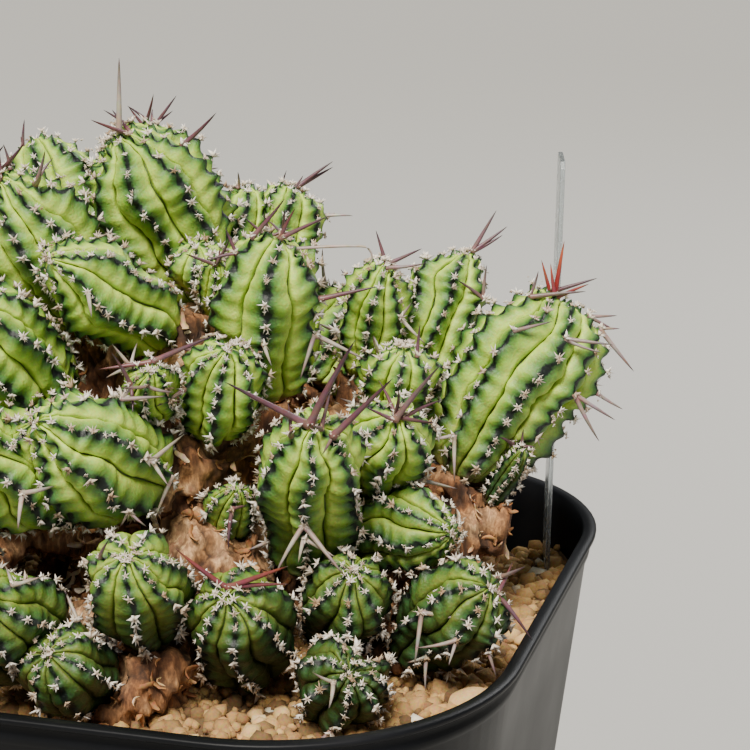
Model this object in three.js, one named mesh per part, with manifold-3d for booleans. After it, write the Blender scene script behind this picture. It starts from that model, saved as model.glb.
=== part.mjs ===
// A clump of ribbed, spiny euphorbia heads on a woody trunk, growing in a square plastic pot.
// Millimetres, +Z up. The origin is the middle of the pot's underside.
import * as THREE from "three";
import Module from "manifold-3d";
import { mergeVertices } from "three/addons/utils/BufferGeometryUtils.js";

const wasm = await Module();
wasm.setup();

// ---- Driving dimensions ----
const potWidth = 150; // across the rim, flat to flat
const potHeight = 130;
const footWidth = 116; // across the underside
const cornerRadius = 41; // at the rim
const wallThickness = 1.4;
const floorThickness = 2.4;
const rimReach = 1.2; // how far the top lip stands out from the wall
const rimThickness = 1.2;
const secondLipDrop = 4.4; // from the top down to the second lip
const secondLipReach = 0.5;
const drainHoleRadius = 4;
const drainCircle = 36; // radius of the ring of drain holes
const drainHoleCount = 8;
const soilDrop = 10; // from the rim down to the soil
const fit = 0.3; // clearance between two pieces that touch
const ribValley = 0.76; // radius in a head's furrow, over its radius on the ridge
const clumpTurn = THREE.MathUtils.degToRad(15.6); // how far the clump is turned in its pot
const labelWidth = 13;
const labelThickness = 0.9;
const labelLength = 108;
const labelBuried = 26;
const labelWallGap = 2.7; // from the pot's wall to the middle of the label's foot
const labelBearing = THREE.MathUtils.degToRad(34.5); // from the pot's right, seen from above
const spineRadius = 0.75; // at the root of a big spine
const spineTipRadius = 0.12;

const soilLevel = potHeight - soilDrop;
const clumpScale = potWidth / 150; // the clump below is laid out for a 150 mm pot and grows with it
const shieldRadius = 1.1 * clumpScale; // the horny pad that a big spine grows from

// The trunk's forks: name, parent, place (right, back, above the soil) and radius.
const forks = [
  ["root", null, [0, -2, 4], 25],
  ["core", "root", [-1, 0, 26], 20],
  ["crown", "core", [-3, 5, 48], 14],
  ["top", "crown", [2, 9, 60], 9],
  ["front", "core", [8, -19, 38], 12],
  ["brow", "front", [9, -10, 52], 8],
  ["apron", "core", [10, -29, 20], 12],
  ["toe", "root", [-4, -44, 6], 13],
  ["right", "core", [28, -15, 22], 11],
  ["shoulder", "right", [36, -3, 36], 9],
  ["stump", "right", [56, -9, 15], 10.5],
  ["low_right", "right", [36, -26, 8], 9],
  ["left", "core", [-28, -12, 28], 12],
  ["low_left", "left", [-38, -26, 10], 10],
  ["far_left", "left", [-44, 8, 20], 10],
  ["back", "core", [4, 31, 28], 12],
  ["back_right", "back", [28, 28, 26], 9],
  ["back_left", "back", [-26, 32, 22], 10],
  ["low_back", "back", [2, 44, 6], 9],
];

// The heads: foot and tip (right, back, above the soil), greatest radius, ribs.
const heads = [
  [[7, 13, 59], [-7, 5, 89], 12.7, 10], // the big one on top
  [[14, 20, 59], [14, 23, 75], 7.2, 7],
  [[20, 20, 60], [23, 25, 76], 6.6, 7],
  [[19, -8, 45], [21, -16, 75], 9.8, 6], // the bright one in the middle
  [[2, -12, 58], [-15, -27, 73], 8, 6],
  [[1, -27, 48], [2, -41, 58], 4.5, 6],
  [[0, -32, 35], [-15, -51, 51], 10.8, 7],
  [[12, -22, 42], [14, -33, 59], 7.6, 7],
  [[27, -28, 21], [29, -46, 51], 8.6, 6],
  [[39, -18, 32], [43, -34, 48], 8, 6],
  [[54, -5, 28], [75, 1, 59], 12.5, 10], // the big one leaning out to the right
  [[46, 7, 44], [55, 14, 65], 8.2, 7],
  [[36, 2, 46], [41, -1, 67], 6, 7],
  [[41, -8, 40], [44, -15, 55], 6.8, 7],
  [[37, -23, 25], [51, -36, 28], 7.4, 7],
  [[46, -31, 5], [58, -44, 21], 8.8, 7],
  [[32, -31, 8], [36, -46, 24], 7.5, 7],
  [[32, -48, 2], [36, -62, 14], 7.6, 8],
  [[18, -37, 6], [15, -54, 23], 8.9, 7],
  [[1, -41, 14], [0, -58, 31], 8.4, 7],
  [[-9, -48, 6], [-13, -61, 15], 7.4, 7],
  [[14, -27, 25], [15, -37, 36], 4.2, 6],
  [[7, 3, 60], [7, -2, 71], 4.6, 6],
  [[10, -3, 58], [11, -8, 69], 3, 6],
  [[60, -9, 25], [66, -13, 36], 3, 6],
  [[-13, -32, 32], [-26, -50, 49], 9.4, 7], // the left half starts here
  [[-17, -44, 10], [-25, -60, 25], 8.6, 7],
  [[-29, -34, 17], [-42, -49, 36], 9.2, 7],
  [[-38, -37, 3], [-44, -49, 14], 7.4, 7],
  [[-44, -21, 14], [-59, -32, 31], 9.4, 7],
  [[-17, -18, 46], [-31, -36, 67], 10.4, 8],
  [[-33, -13, 33], [-49, -25, 52], 10.4, 8],
  [[-50, -5, 19], [-67, -11, 34], 9.4, 7],
  [[-13, -1, 57], [-27, -11, 83], 11.2, 9],
  [[-27, 5, 45], [-45, 5, 68], 11.6, 9],
  [[-13, 12, 60], [-24, 20, 85], 9.6, 7],
  [[-50, 11, 16], [-67, 14, 29], 9.8, 7],
  [[-40, 16, 33], [-57, 23, 50], 9.6, 7],
  [[-21, 25, 44], [-33, 39, 63], 10, 7], // the back starts here
  [[-2, 19, 61], [-4, 31, 85], 10.4, 8],
  [[9, 29, 46], [14, 45, 65], 9.6, 7],
  [[26, 21, 38], [34, 36, 52], 9, 7],
  [[42, 23, 30], [57, 35, 44], 9.4, 7],
  [[20, 39, 26], [30, 55, 41], 9.4, 7],
  [[2, 42, 29], [2, 59, 46], 9.8, 7],
  [[-15, 41, 26], [-24, 57, 41], 9.8, 7],
  [[-34, 34, 20], [-47, 47, 35], 9.4, 7],
  [[10, 49, 5], [14, 60, 20], 8.2, 7],
  [[-9, 49, 5], [-13, 61, 18], 8, 7],
  [[31, 38, 5], [39, 48, 19], 8, 7],
  [[-45, 26, 6], [-56, 31, 20], 7.8, 7],
];

// The biggest spines: which head and rib, how far up it, at what share of the head's radius,
// and each prong's direction and length.
const spineClusters = [
  ["spines_top", 1, 0, 0.98, 0.2, [[[0, 0, 1], 14]]],
  ["spines_front_upper", 9, 0, 0.97, 0.3, [[[-0.85, -0.4, 0.5], 17], [[0.4, -0.4, 0.95], 14]]],
  ["spines_front_lower", 9, 0, 0.5, 1, [[[-0.6, -0.6, -0.6], 11], [[0.7, -0.6, -0.6], 12]]],
  ["spines_low_left", 19, 0, 0.97, 0.3, [[[-0.7, -0.4, 0.6], 13], [[0.85, -0.4, 0.5], 14]]],
  ["spines_right_new", 11, 8, 0.97, 0.3, [[[-0.1, -0.2, 1], 10], [[0.15, -0.3, 1], 13]]],
];

// ---- Meshes, solids and planes ----

// One indexed geometry from a list of points and a list of triangles.
function indexedGeometry(points, triangles) {
  const geometry = new THREE.BufferGeometry();
  geometry.setFromPoints(points);
  geometry.setIndex(triangles.flat());
  return geometry;
}

// Closes a stack of equal rings of points with a single point at each end.
function closedStack(firstPole, rings, lastPole) {
  const around = rings[0].length;
  const points = [firstPole, ...rings.flat(), lastPole];
  const last = points.length - 1;
  const at = (ring, k) => 1 + ring * around + (k % around);
  const triangles = [];
  for (let k = 0; k < around; k++) {
    triangles.push([0, at(0, k + 1), at(0, k)]);
    for (let ring = 0; ring + 1 < rings.length; ring++) {
      triangles.push([at(ring, k), at(ring, k + 1), at(ring + 1, k + 1)]);
      triangles.push([at(ring, k), at(ring + 1, k + 1), at(ring + 1, k)]);
    }
    triangles.push([at(rings.length - 1, k), at(rings.length - 1, k + 1), last]);
  }
  return indexedGeometry(points, triangles);
}

function solidFrom(geometry) {
  const bare = geometry.clone();
  bare.deleteAttribute("normal");
  bare.deleteAttribute("uv");
  const merged = mergeVertices(bare, 1e-4);
  const vertProperties = new Float32Array(merged.attributes.position.array);
  const triVerts = new Uint32Array(merged.index.array);
  return new wasm.Manifold(new wasm.Mesh({ numProp: 3, vertProperties, triVerts }));
}

function geometryFrom(solid) {
  const mesh = solid.getMesh();
  const geometry = new THREE.BufferGeometry();
  geometry.setAttribute("position", new THREE.BufferAttribute(mesh.vertProperties, 3));
  geometry.setIndex(new THREE.BufferAttribute(mesh.triVerts, 1));
  return geometry;
}

function namedMesh(name, geometry, material) {
  const mesh = new THREE.Mesh(geometry, material);
  mesh.name = name;
  return mesh;
}

function plainMaterial(color, roughness) {
  return new THREE.MeshStandardMaterial({ color, roughness, metalness: 0 });
}

// ---- Pot and soil ----

// A level ring with rounded corners, counter-clockwise seen from above.
function squareRing(width, radius, height) {
  const stepsPerCorner = 5;
  const half = width / 2 - radius;
  const points = [];
  for (let corner = 0; corner < 4; corner++) {
    const centreAngle = (corner + 0.5) * (Math.PI / 2);
    const centre = new THREE.Vector3(Math.cos(centreAngle), Math.sin(centreAngle), 0);
    centre.multiplyScalar(half * Math.SQRT2).setZ(height);
    for (let step = 0; step <= stepsPerCorner; step++) {
      const angle = (corner + step / stepsPerCorner) * (Math.PI / 2);
      const spoke = new THREE.Vector3(Math.cos(angle), Math.sin(angle), 0);
      points.push(spoke.multiplyScalar(radius).add(centre));
    }
  }
  return points;
}

// The pot's outer wall tapers from the rim to the foot, and its corners with it.
const wallTop = potWidth - 2 * rimReach;
const outerWidthAt = (z) => footWidth + (wallTop - footWidth) * (z / potHeight);
const cornerAt = (z) => cornerRadius * (0.72 + 0.28 * (z / potHeight));

function potGeometry() {
  const secondLip = potHeight - secondLipDrop;
  const underLip = potHeight - rimThickness;
  const outside = [
    [0, 0],
    [secondLip - 1, 0],
    [secondLip, secondLipReach],
    [secondLip + 1, secondLipReach],
    [secondLip + 1.6, 0],
    [underLip, 0],
    [underLip, rimReach],
    [potHeight, rimReach],
  ];
  const rings = outside.map(([z, reach]) => {
    const corner = cornerAt(z) + reach;
    return squareRing(outerWidthAt(z) + 2 * reach, corner, z);
  });
  for (const z of [potHeight, floorThickness]) {
    const inner = outerWidthAt(z) - 2 * wallThickness;
    rings.push(squareRing(inner, cornerAt(z) - wallThickness, z));
  }
  const underside = new THREE.Vector3(0, 0, 0);
  const floor = new THREE.Vector3(0, 0, floorThickness);
  let pot = solidFrom(closedStack(underside, rings, floor));
  for (let k = 0; k < drainHoleCount; k++) {
    const angle = (k + 0.5) * ((2 * Math.PI) / drainHoleCount);
    const hole = new THREE.CylinderGeometry(drainHoleRadius, drainHoleRadius, 4 * floorThickness, 12);
    hole.rotateX(Math.PI / 2);
    hole.translate(drainCircle * Math.cos(angle), drainCircle * Math.sin(angle), 0);
    pot = pot.subtract(solidFrom(hole));
  }
  return geometryFrom(pot);
}

const plugRadius = 22 * clumpScale; // the buried foot of the trunk
const plugDepth = 24;

function plugGeometry(clearance, top) {
  const height = plugDepth + clearance + top;
  const plug = new THREE.CylinderGeometry(plugRadius + clearance, 0.6 * plugRadius + clearance, height, 14);
  plug.rotateX(Math.PI / 2);
  plug.translate(0, 0, soilLevel + top - height / 2);
  return plug;
}

// How far the inside of the pot's wall is from the axis, towards the back right corner.
function insideReach(bearing, z) {
  const radius = cornerAt(z) - wallThickness;
  const corner = outerWidthAt(z) / 2 - wallThickness - radius;
  const along = corner * (Math.cos(bearing) + Math.sin(bearing));
  return along + Math.sqrt(along ** 2 - 2 * corner ** 2 + radius ** 2);
}

// The label stands edge-on near the back right corner, leaning out a little.
function labelGeometry(clearance) {
  const width = labelWidth + 2 * clearance;
  const thickness = labelThickness + 2 * clearance;
  const label = new THREE.BoxGeometry(thickness, width, labelLength + 2 * clearance);
  label.translate(0, 0, labelLength / 2);
  label.rotateY(THREE.MathUtils.degToRad(1));
  label.rotateZ(clumpTurn - THREE.MathUtils.degToRad(2));
  const foot = soilLevel - labelBuried;
  const reach = insideReach(labelBearing, foot) - labelWallGap;
  label.translate(reach * Math.cos(labelBearing), reach * Math.sin(labelBearing), foot);
  return label;
}

const hollowRadius = 22 * clumpScale; // the soil has sunk away at the back right corner

function soilGeometry() {
  const rings = [floorThickness + fit, soilLevel].map((z) => {
    const inset = wallThickness + fit;
    return squareRing(outerWidthAt(z) - 2 * inset, cornerAt(z) - inset, z);
  });
  const bottom = new THREE.Vector3(0, 0, floorThickness + fit);
  const top = new THREE.Vector3(0, 0, soilLevel);
  const block = solidFrom(closedStack(bottom, rings, top));
  const socket = solidFrom(plugGeometry(fit, 2));
  const slot = solidFrom(labelGeometry(fit));
  const hollow = new THREE.IcosahedronGeometry(hollowRadius, 1);
  const hollowCentre = placed([64, 46, 13]);
  hollow.translate(hollowCentre.x, hollowCentre.y, hollowCentre.z);
  return geometryFrom(block.subtract(socket).subtract(slot).subtract(solidFrom(hollow)));
}

// ---- Heads ----

// From the clump's layout (right, back, above the soil) to the part's own frame.
function placed([right, back, up]) {
  const point = new THREE.Vector3(right, back, up).multiplyScalar(clumpScale);
  point.applyAxisAngle(new THREE.Vector3(0, 0, 1), clumpTurn);
  point.z += soilLevel;
  return point;
}

// Stations from foot to tip: how far along, ridge radius over the greatest, depth of the furrows.
const stations = [
  [0.05, 0.6, 0.4],
  [0.25, 0.88, 0.9],
  [0.5, 1.0, 1.0],
  [0.76, 0.92, 1.0],
  [0.94, 0.5, 0.7],
];

const grown = heads.map(([foot, tip, radius, ribs]) => ({
  foot: placed(foot),
  tip: placed(tip),
  radius: radius * clumpScale,
  ribs,
}));

// Where a head is widest its middle line is this stretch, which its neighbours are measured from.
function middleLine(head) {
  const line = new THREE.Line3();
  line.start.lerpVectors(head.foot, head.tip, 0.3);
  line.end.lerpVectors(head.foot, head.tip, 0.75);
  return line;
}

// The closest pair of points of two short lines, found by going to and fro between them.
function closestPair(a, b) {
  const onA = a.getCenter(new THREE.Vector3());
  const onB = new THREE.Vector3();
  for (let pass = 0; pass < 24; pass++) {
    b.closestPointToPoint(onA, true, onB);
    a.closestPointToPoint(onB, true, onA);
  }
  return [onA, onB];
}

// A plane between two heads that press on each other, shared out by their radii. It faces away from a.
function planeBetween(a, b) {
  const [onA, onB] = closestPair(middleLine(a), middleLine(b));
  const normal = onB.clone().sub(onA);
  const distance = normal.length();
  const share = a.radius / (a.radius + b.radius);
  const middle = new THREE.Vector3().lerpVectors(onA, onB, share);
  return new THREE.Plane().setFromNormalAndCoplanarPoint(normal.divideScalar(distance), middle);
}

function boundsOf(head) {
  const box = new THREE.Box3().setFromPoints([head.foot, head.tip]);
  return box.expandByScalar(head.radius + fit);
}

// The planes that a head must stay behind: one for each neighbour, and the soil.
function limitsOf(head) {
  const limits = [new THREE.Plane(new THREE.Vector3(0, 0, -1), soilLevel + fit / 2)];
  for (const other of grown) {
    if (other !== head && boundsOf(head).intersectsBox(boundsOf(other))) {
      limits.push(planeBetween(head, other));
    }
  }
  return limits;
}

// Moves a point back behind each plane by half the clearance.
function holdBack(point, limits) {
  for (let pass = 0; pass < 30; pass++) {
    for (const plane of limits) {
      const beyond = plane.distanceToPoint(point) + fit / 2;
      if (beyond > 0) point.addScaledVector(plane.normal, -beyond);
    }
  }
  return point;
}

// The part's own frame across a head: two directions square to its axis.
function acrossDirections(head) {
  const axis = head.tip.clone().sub(head.foot).normalize();
  const viewerSide = new THREE.Vector3(0, 1, 0).applyAxisAngle(new THREE.Vector3(0, 0, 1), clumpTurn);
  const side = new THREE.Vector3().crossVectors(axis, viewerSide).normalize();
  return [axis, side, new THREE.Vector3().crossVectors(axis, side)];
}

// A point on a head's surface: how far along, at what angle, and at what share of the radius.
function surfacePoint(head, along, angle, share) {
  const [, side, up] = acrossDirections(head);
  const point = new THREE.Vector3().lerpVectors(head.foot, head.tip, along);
  point.addScaledVector(side, Math.cos(angle) * share * head.radius);
  return point.addScaledVector(up, Math.sin(angle) * share * head.radius);
}

const firstRib = Math.PI / 2; // the angle of a rib, so that each head has one at its front

function headGeometry(head) {
  const limits = limitsOf(head);
  const rings = stations.map(([along, share, furrow]) => {
    const ring = [];
    for (let k = 0; k < 2 * head.ribs; k++) {
      const depth = k % 2 ? 1 - (1 - ribValley) * furrow : 1;
      const angle = firstRib + (k * Math.PI) / head.ribs;
      ring.push(holdBack(surfacePoint(head, along, angle, share * depth), limits));
    }
    return ring;
  });
  return closedStack(holdBack(head.foot.clone(), limits), rings, holdBack(head.tip.clone(), limits));
}

// ---- Trunk ----

// A round, tapering limb between two points.
function limbSolid(start, end, startRadius, endRadius, sides) {
  const axis = end.clone().sub(start);
  const limb = new THREE.CylinderGeometry(endRadius, startRadius, axis.length(), sides);
  limb.translate(0, axis.length() / 2, 0);
  const turn = new THREE.Quaternion();
  turn.setFromUnitVectors(new THREE.Vector3(0, 1, 0), axis.clone().normalize());
  limb.applyQuaternion(turn);
  limb.translate(start.x, start.y, start.z);
  return solidFrom(limb);
}

function knuckleSolid(centre, radius, detail) {
  const knuckle = new THREE.OctahedronGeometry(radius, detail);
  knuckle.translate(centre.x, centre.y, centre.z);
  return solidFrom(knuckle);
}

const roomSides = 6;
const roomStations = [
  [0, 0.7],
  [0.28, 1],
  [0.72, 1],
  [1, 0.45],
];

// A plain barrel a little bigger than the head, which clears the head's room in the wood.
function roomFor(head) {
  const rooms = [];
  const [, side, up] = acrossDirections(head);
  const axis = head.tip.clone().sub(head.foot).normalize();
  const clear = fit + 0.15;
  for (const [along, share] of roomStations) {
    const ring = [];
    for (let k = 0; k < roomSides; k++) {
      const angle = (2 * Math.PI * k) / roomSides;
      const radius = (share * head.radius) / Math.cos(Math.PI / roomSides) + clear;
      const point = new THREE.Vector3().lerpVectors(head.foot, head.tip, along);
      point.addScaledVector(side, Math.cos(angle) * radius);
      ring.push(point.addScaledVector(up, Math.sin(angle) * radius));
    }
    rooms.push(ring);
  }
  const below = head.foot.clone().addScaledVector(axis, -clear);
  const above = head.tip.clone().addScaledVector(axis, clear);
  return solidFrom(closedStack(below, rooms, above));
}

function trunkGeometry() {
  const joints = new Map();
  for (const [name, parent, place, radius] of forks) {
    joints.set(name, { parent, centre: placed(place), radius: radius * clumpScale });
  }
  const wood = [];
  for (const joint of joints.values()) {
    if (joint.radius > 11 * clumpScale) wood.push(knuckleSolid(joint.centre, 1.05 * joint.radius, 1));
    if (joint.parent) {
      const from = joints.get(joint.parent);
      wood.push(limbSolid(from.centre, joint.centre, 0.9 * from.radius, joint.radius, 6));
    }
  }
  for (const head of grown) {
    const byDistance = (a, b) => a.centre.distanceTo(head.foot) - b.centre.distanceTo(head.foot);
    const nearest = [...joints.values()].sort(byDistance)[0];
    const axis = head.tip.clone().sub(head.foot);
    const seat = head.foot.clone().addScaledVector(axis, 0.12);
    const endRadius = 0.66 * head.radius;
    wood.push(limbSolid(nearest.centre, seat, Math.min(nearest.radius, 1.15 * endRadius), endRadius, 5));
  }
  const soilBlock = new THREE.BoxGeometry(2 * potWidth, 2 * potWidth, 4 * soilDrop + potHeight);
  soilBlock.translate(0, 0, soilLevel + fit - (4 * soilDrop + potHeight) / 2);
  const rooms = wasm.Manifold.union(grown.map(roomFor));
  const above = wasm.Manifold.union(wood).subtract(solidFrom(soilBlock)).subtract(rooms);
  const whole = above.add(solidFrom(plugGeometry(0, 2)));
  const bySize = (a, b) => b.volume() - a.volume();
  return geometryFrom(whole.decompose().sort(bySize)[0]);
}

// ---- Big spines ----

function clusterGeometry([, headNumber, rib, along, share, prongs]) {
  const head = grown[headNumber - 1];
  const eye = surfacePoint(head, along, firstRib + (2 * Math.PI * rib) / head.ribs, share);
  const middle = new THREE.Vector3().lerpVectors(head.foot, head.tip, 0.55);
  const outward = eye.clone().sub(middle).normalize();
  const base = eye.clone().addScaledVector(outward, shieldRadius + fit);
  let cluster = knuckleSolid(base, shieldRadius, 0);
  for (const [direction, length] of prongs) {
    const way = new THREE.Vector3(...direction).normalize();
    way.applyAxisAngle(new THREE.Vector3(0, 0, 1), clumpTurn);
    const end = base.clone().addScaledVector(way, length * clumpScale);
    cluster = cluster.add(limbSolid(base, end, spineRadius * clumpScale, spineTipRadius, 5));
  }
  return geometryFrom(cluster);
}

// ---- The whole plant in its pot ----
const part = new THREE.Group();
part.add(namedMesh("pot", potGeometry(), plainMaterial("#1b1c1e", 0.45)));
part.add(namedMesh("soil", soilGeometry(), plainMaterial("#b58a54", 0.95)));
part.add(namedMesh("trunk", trunkGeometry(), plainMaterial("#96694a", 0.9)));
part.add(namedMesh("plant_label", labelGeometry(0), plainMaterial("#aab0b4", 0.2)));
grown.forEach((head, index) => {
  const name = "head_" + String(index + 1).padStart(2, "0");
  part.add(namedMesh(name, headGeometry(head), plainMaterial("#6f9441", 0.55)));
});
for (const cluster of spineClusters) {
  part.add(namedMesh(cluster[0], clusterGeometry(cluster), plainMaterial("#6e4650", 0.5)));
}

export default part;
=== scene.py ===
"""A clump of ribbed, spiny euphorbia heads on a woody trunk, in a square nursery pot."""

import math
import random

import bmesh
import bpy
import numpy as np
from mathutils import Matrix, Vector, noise
from mathutils.bvhtree import BVHTree


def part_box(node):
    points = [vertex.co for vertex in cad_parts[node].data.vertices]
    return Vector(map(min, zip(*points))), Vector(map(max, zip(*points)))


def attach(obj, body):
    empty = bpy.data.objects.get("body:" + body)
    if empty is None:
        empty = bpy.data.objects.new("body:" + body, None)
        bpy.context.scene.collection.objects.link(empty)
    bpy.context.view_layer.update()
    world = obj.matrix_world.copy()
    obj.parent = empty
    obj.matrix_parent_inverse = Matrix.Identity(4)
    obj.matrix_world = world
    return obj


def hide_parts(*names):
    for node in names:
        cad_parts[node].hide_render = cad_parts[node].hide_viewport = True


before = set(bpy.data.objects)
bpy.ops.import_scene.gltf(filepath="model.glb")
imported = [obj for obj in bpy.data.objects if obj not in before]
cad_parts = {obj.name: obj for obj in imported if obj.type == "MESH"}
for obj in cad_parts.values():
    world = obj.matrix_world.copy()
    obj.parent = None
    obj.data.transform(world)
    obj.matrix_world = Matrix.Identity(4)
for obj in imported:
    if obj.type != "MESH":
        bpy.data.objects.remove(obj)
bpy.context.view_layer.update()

MM = 0.001  # metres in a millimetre

# ---- Sizes of the plant's own pattern, in millimetres ----
ROW_STEP = 0.5  # between two rows of a head's skin
EYE_SPACING = 3.0  # from eye to eye along a grown rib
FLANK_HALF = (0.11, 0.25, 0.42, 0.6, 0.78, 0.91, 0.97)  # columns from a ridge (0) to a furrow (1)
RIB_SHARPNESS = 1.2  # 1 is a roof-shaped rib, 2 a round one
PILLOW_HEIGHT = 0.4  # how far the middle of a flank swells
TUBERCLE_HEIGHT = 0.7
NOTCH_DEPTH = 0.45
RIPPLE_HEIGHT = 0.34
CREASE_DEPTH = 0.4
WARP = 2.0  # how far growth has pushed the heads out of true
WARP_SIZE = 8.0  # from one push to the next
WARP_SHIFTS = (Vector((0, 0, 0)), Vector((31.4, 7.7, 2.1)), Vector((5.3, 58.2, 13.6)))
FULL_GIRTH = 9.0  # a head of this radius has the sizes above, and a smaller one less
STAR_RADIUS = 1.25
STAR_PIECES = 3
VOXEL = 0.95
FLAKE_COUNT = 1500  # loose scraps of bark
GRAIN_RADIUS = 1.15
GRAIN_STEP = 1.75  # from one grain to the next
GRAINS_PER_PIECE = 2400
CLUMP_TURN = math.radians(15.6)  # the clump's front, turned from the pot's front

# ---- Sizes of the pot, in millimetres ----
pot_low, pot_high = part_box("pot")
soil_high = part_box("soil")[1]
RIM_HEIGHT = pot_high.z / MM
SOIL_HEIGHT = soil_high.z / MM
POT_WIDTH = (pot_high.x - pot_low.x) / MM
CORNER = 41.0  # the corner's radius at the rim
FOOT_WIDTH = 116.0
WALL = 1.4
FLOOR = 2.4  # thickness of the bottom
REACH = 1.2  # how far the top lip stands out
LIP_THICKNESS = 1.2
BEAD_DROP = 4.4  # from the rim down to the second lip
DRAIN_HOLES = 8
DRAIN_RADIUS = 4.0
DRAIN_CIRCLE = 36.0  # radius of the ring of drain holes
CORNER_STEPS = 20


def wall_width(height):
    """The pot's outside width, below its lip."""
    return FOOT_WIDTH + (POT_WIDTH - 2 * REACH - FOOT_WIDTH) * height / RIM_HEIGHT


def corner_radius(height):
    """The pot's corner radius at a height."""
    return CORNER * (0.72 + 0.28 * height / RIM_HEIGHT)


def clump_direction(right, back, up):
    """A direction seen from the clump's front, in the part's own frame."""
    cosine, sine = math.cos(CLUMP_TURN), math.sin(CLUMP_TURN)
    return Vector((right * cosine - back * sine, right * sine + back * cosine, up)).normalized()


RIGHTWARD = clump_direction(1, 0, 0)
BACKWARD = clump_direction(0, 1, 0)
FLANK_COLUMNS = (-1,) + tuple(-w for w in reversed(FLANK_HALF)) + (0,) + FLANK_HALF

# ---- Small helpers ----


def linear(hex_colour):
    """An sRGB hex colour as linear red, green, blue and alpha."""
    parts = [int(hex_colour[i : i + 2], 16) / 255 for i in (1, 3, 5)]
    return tuple(p / 12.92 if p <= 0.04045 else ((p + 0.055) / 1.055) ** 2.4 for p in parts) + (1.0,)


def set_ramp(ramp, stops):
    """Gives a colour ramp its stops, as pairs of position and hex colour."""
    while len(ramp.elements) < len(stops):
        ramp.elements.new(0.5)
    for element, (position, colour) in zip(ramp.elements, stops):
        element.position = position
        element.color = linear(colour)


def plug(tree, node, inputs):
    """Sets a node's inputs, or links those whose value is another node's output."""
    for name, value in inputs.items():
        if isinstance(value, bpy.types.NodeSocket):
            tree.links.new(value, node.inputs[name])
        else:
            node.inputs[name].default_value = value


def add(tree, kind, settings=None, inputs=None, out=0):
    """Adds a node with its settings and links, and returns one of its outputs."""
    node = tree.nodes.new(kind)
    for name, value in (settings or {}).items():
        if name == "stops":
            set_ramp(node.color_ramp, value)
        else:
            setattr(node, name, value)
    plug(tree, node, inputs or {})
    return node.outputs[out]


def new_material(name):
    """An empty material with one Principled surface, ready for its nodes."""
    material = bpy.data.materials.new(name)
    material.use_nodes = True
    tree = material.node_tree
    return material, tree, tree.nodes["Principled BSDF"]


def show(thing):
    """Links an object into the scene, and returns it."""
    bpy.context.scene.collection.objects.link(thing)
    return thing


def new_object(name, vertices, faces, smooth=True):
    """A mesh object at the origin. Its places are in metres."""
    mesh = bpy.data.meshes.new(name)
    mesh.from_pydata([tuple(v) for v in vertices], [], faces)
    mesh.update()
    mesh.polygons.foreach_set("use_smooth", [smooth] * len(mesh.polygons))
    return show(bpy.data.objects.new(name, mesh))


def set_attribute(piece, name, values, kind="FLOAT"):
    """Stores one value for each point of a mesh under a name."""
    attribute = piece.data.attributes.new(name, kind, "POINT")
    key = "vector" if kind == "FLOAT_VECTOR" else "value"
    attribute.data.foreach_set(key, np.asarray(values, np.float32).ravel())


def remove_object(piece):
    """Deletes a piece and its mesh."""
    mesh = piece.data
    bpy.data.objects.remove(piece)
    bpy.data.meshes.remove(mesh)


def baked_copy(piece, name):
    """The piece with its modifiers applied, as a plain mesh object. The first one is removed."""
    graph = bpy.context.evaluated_depsgraph_get()
    evaluated = piece.evaluated_get(graph)
    mesh = bpy.data.meshes.new_from_object(evaluated, preserve_all_data_layers=True, depsgraph=graph)
    mesh.name = name
    made = show(bpy.data.objects.new(name, mesh))
    remove_object(piece)
    return made


def paint(piece, material):
    """Gives a piece one material, in place of any that it had."""
    piece.data.materials.clear()
    piece.data.materials.append(material)


def finish_piece(piece, slot, *nodes):
    """A finished piece rides on the only body, and stands for its CAD nodes."""
    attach(piece, "root")
    if nodes:
        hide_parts(*nodes)


# ---- Geometry Nodes ----


def new_tree(name, sizes):
    """A Geometry Nodes tree with a mesh going in and out, and named inputs for its sizes."""
    tree = bpy.data.node_groups.new(name, "GeometryNodeTree")
    tree.interface.new_socket("Geometry", in_out="INPUT", socket_type="NodeSocketGeometry")
    tree.interface.new_socket("Geometry", in_out="OUTPUT", socket_type="NodeSocketGeometry")
    for label, kind in sizes.items():
        tree.interface.new_socket(label, in_out="INPUT", socket_type=kind)
    return tree, tree.nodes.new("NodeGroupInput"), tree.nodes.new("NodeGroupOutput")


def run_tree(piece, tree, values, name):
    """Runs a tree on a piece with these inputs, and returns the result as a plain mesh object."""
    modifier = piece.modifiers.new(tree.name, "NODES")
    modifier.node_group = tree
    for item in tree.interface.items_tree:
        if item.item_type == "SOCKET" and item.in_out == "INPUT" and item.name in values:
            modifier[item.identifier] = values[item.name]
    return baked_copy(piece, name)


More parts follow.
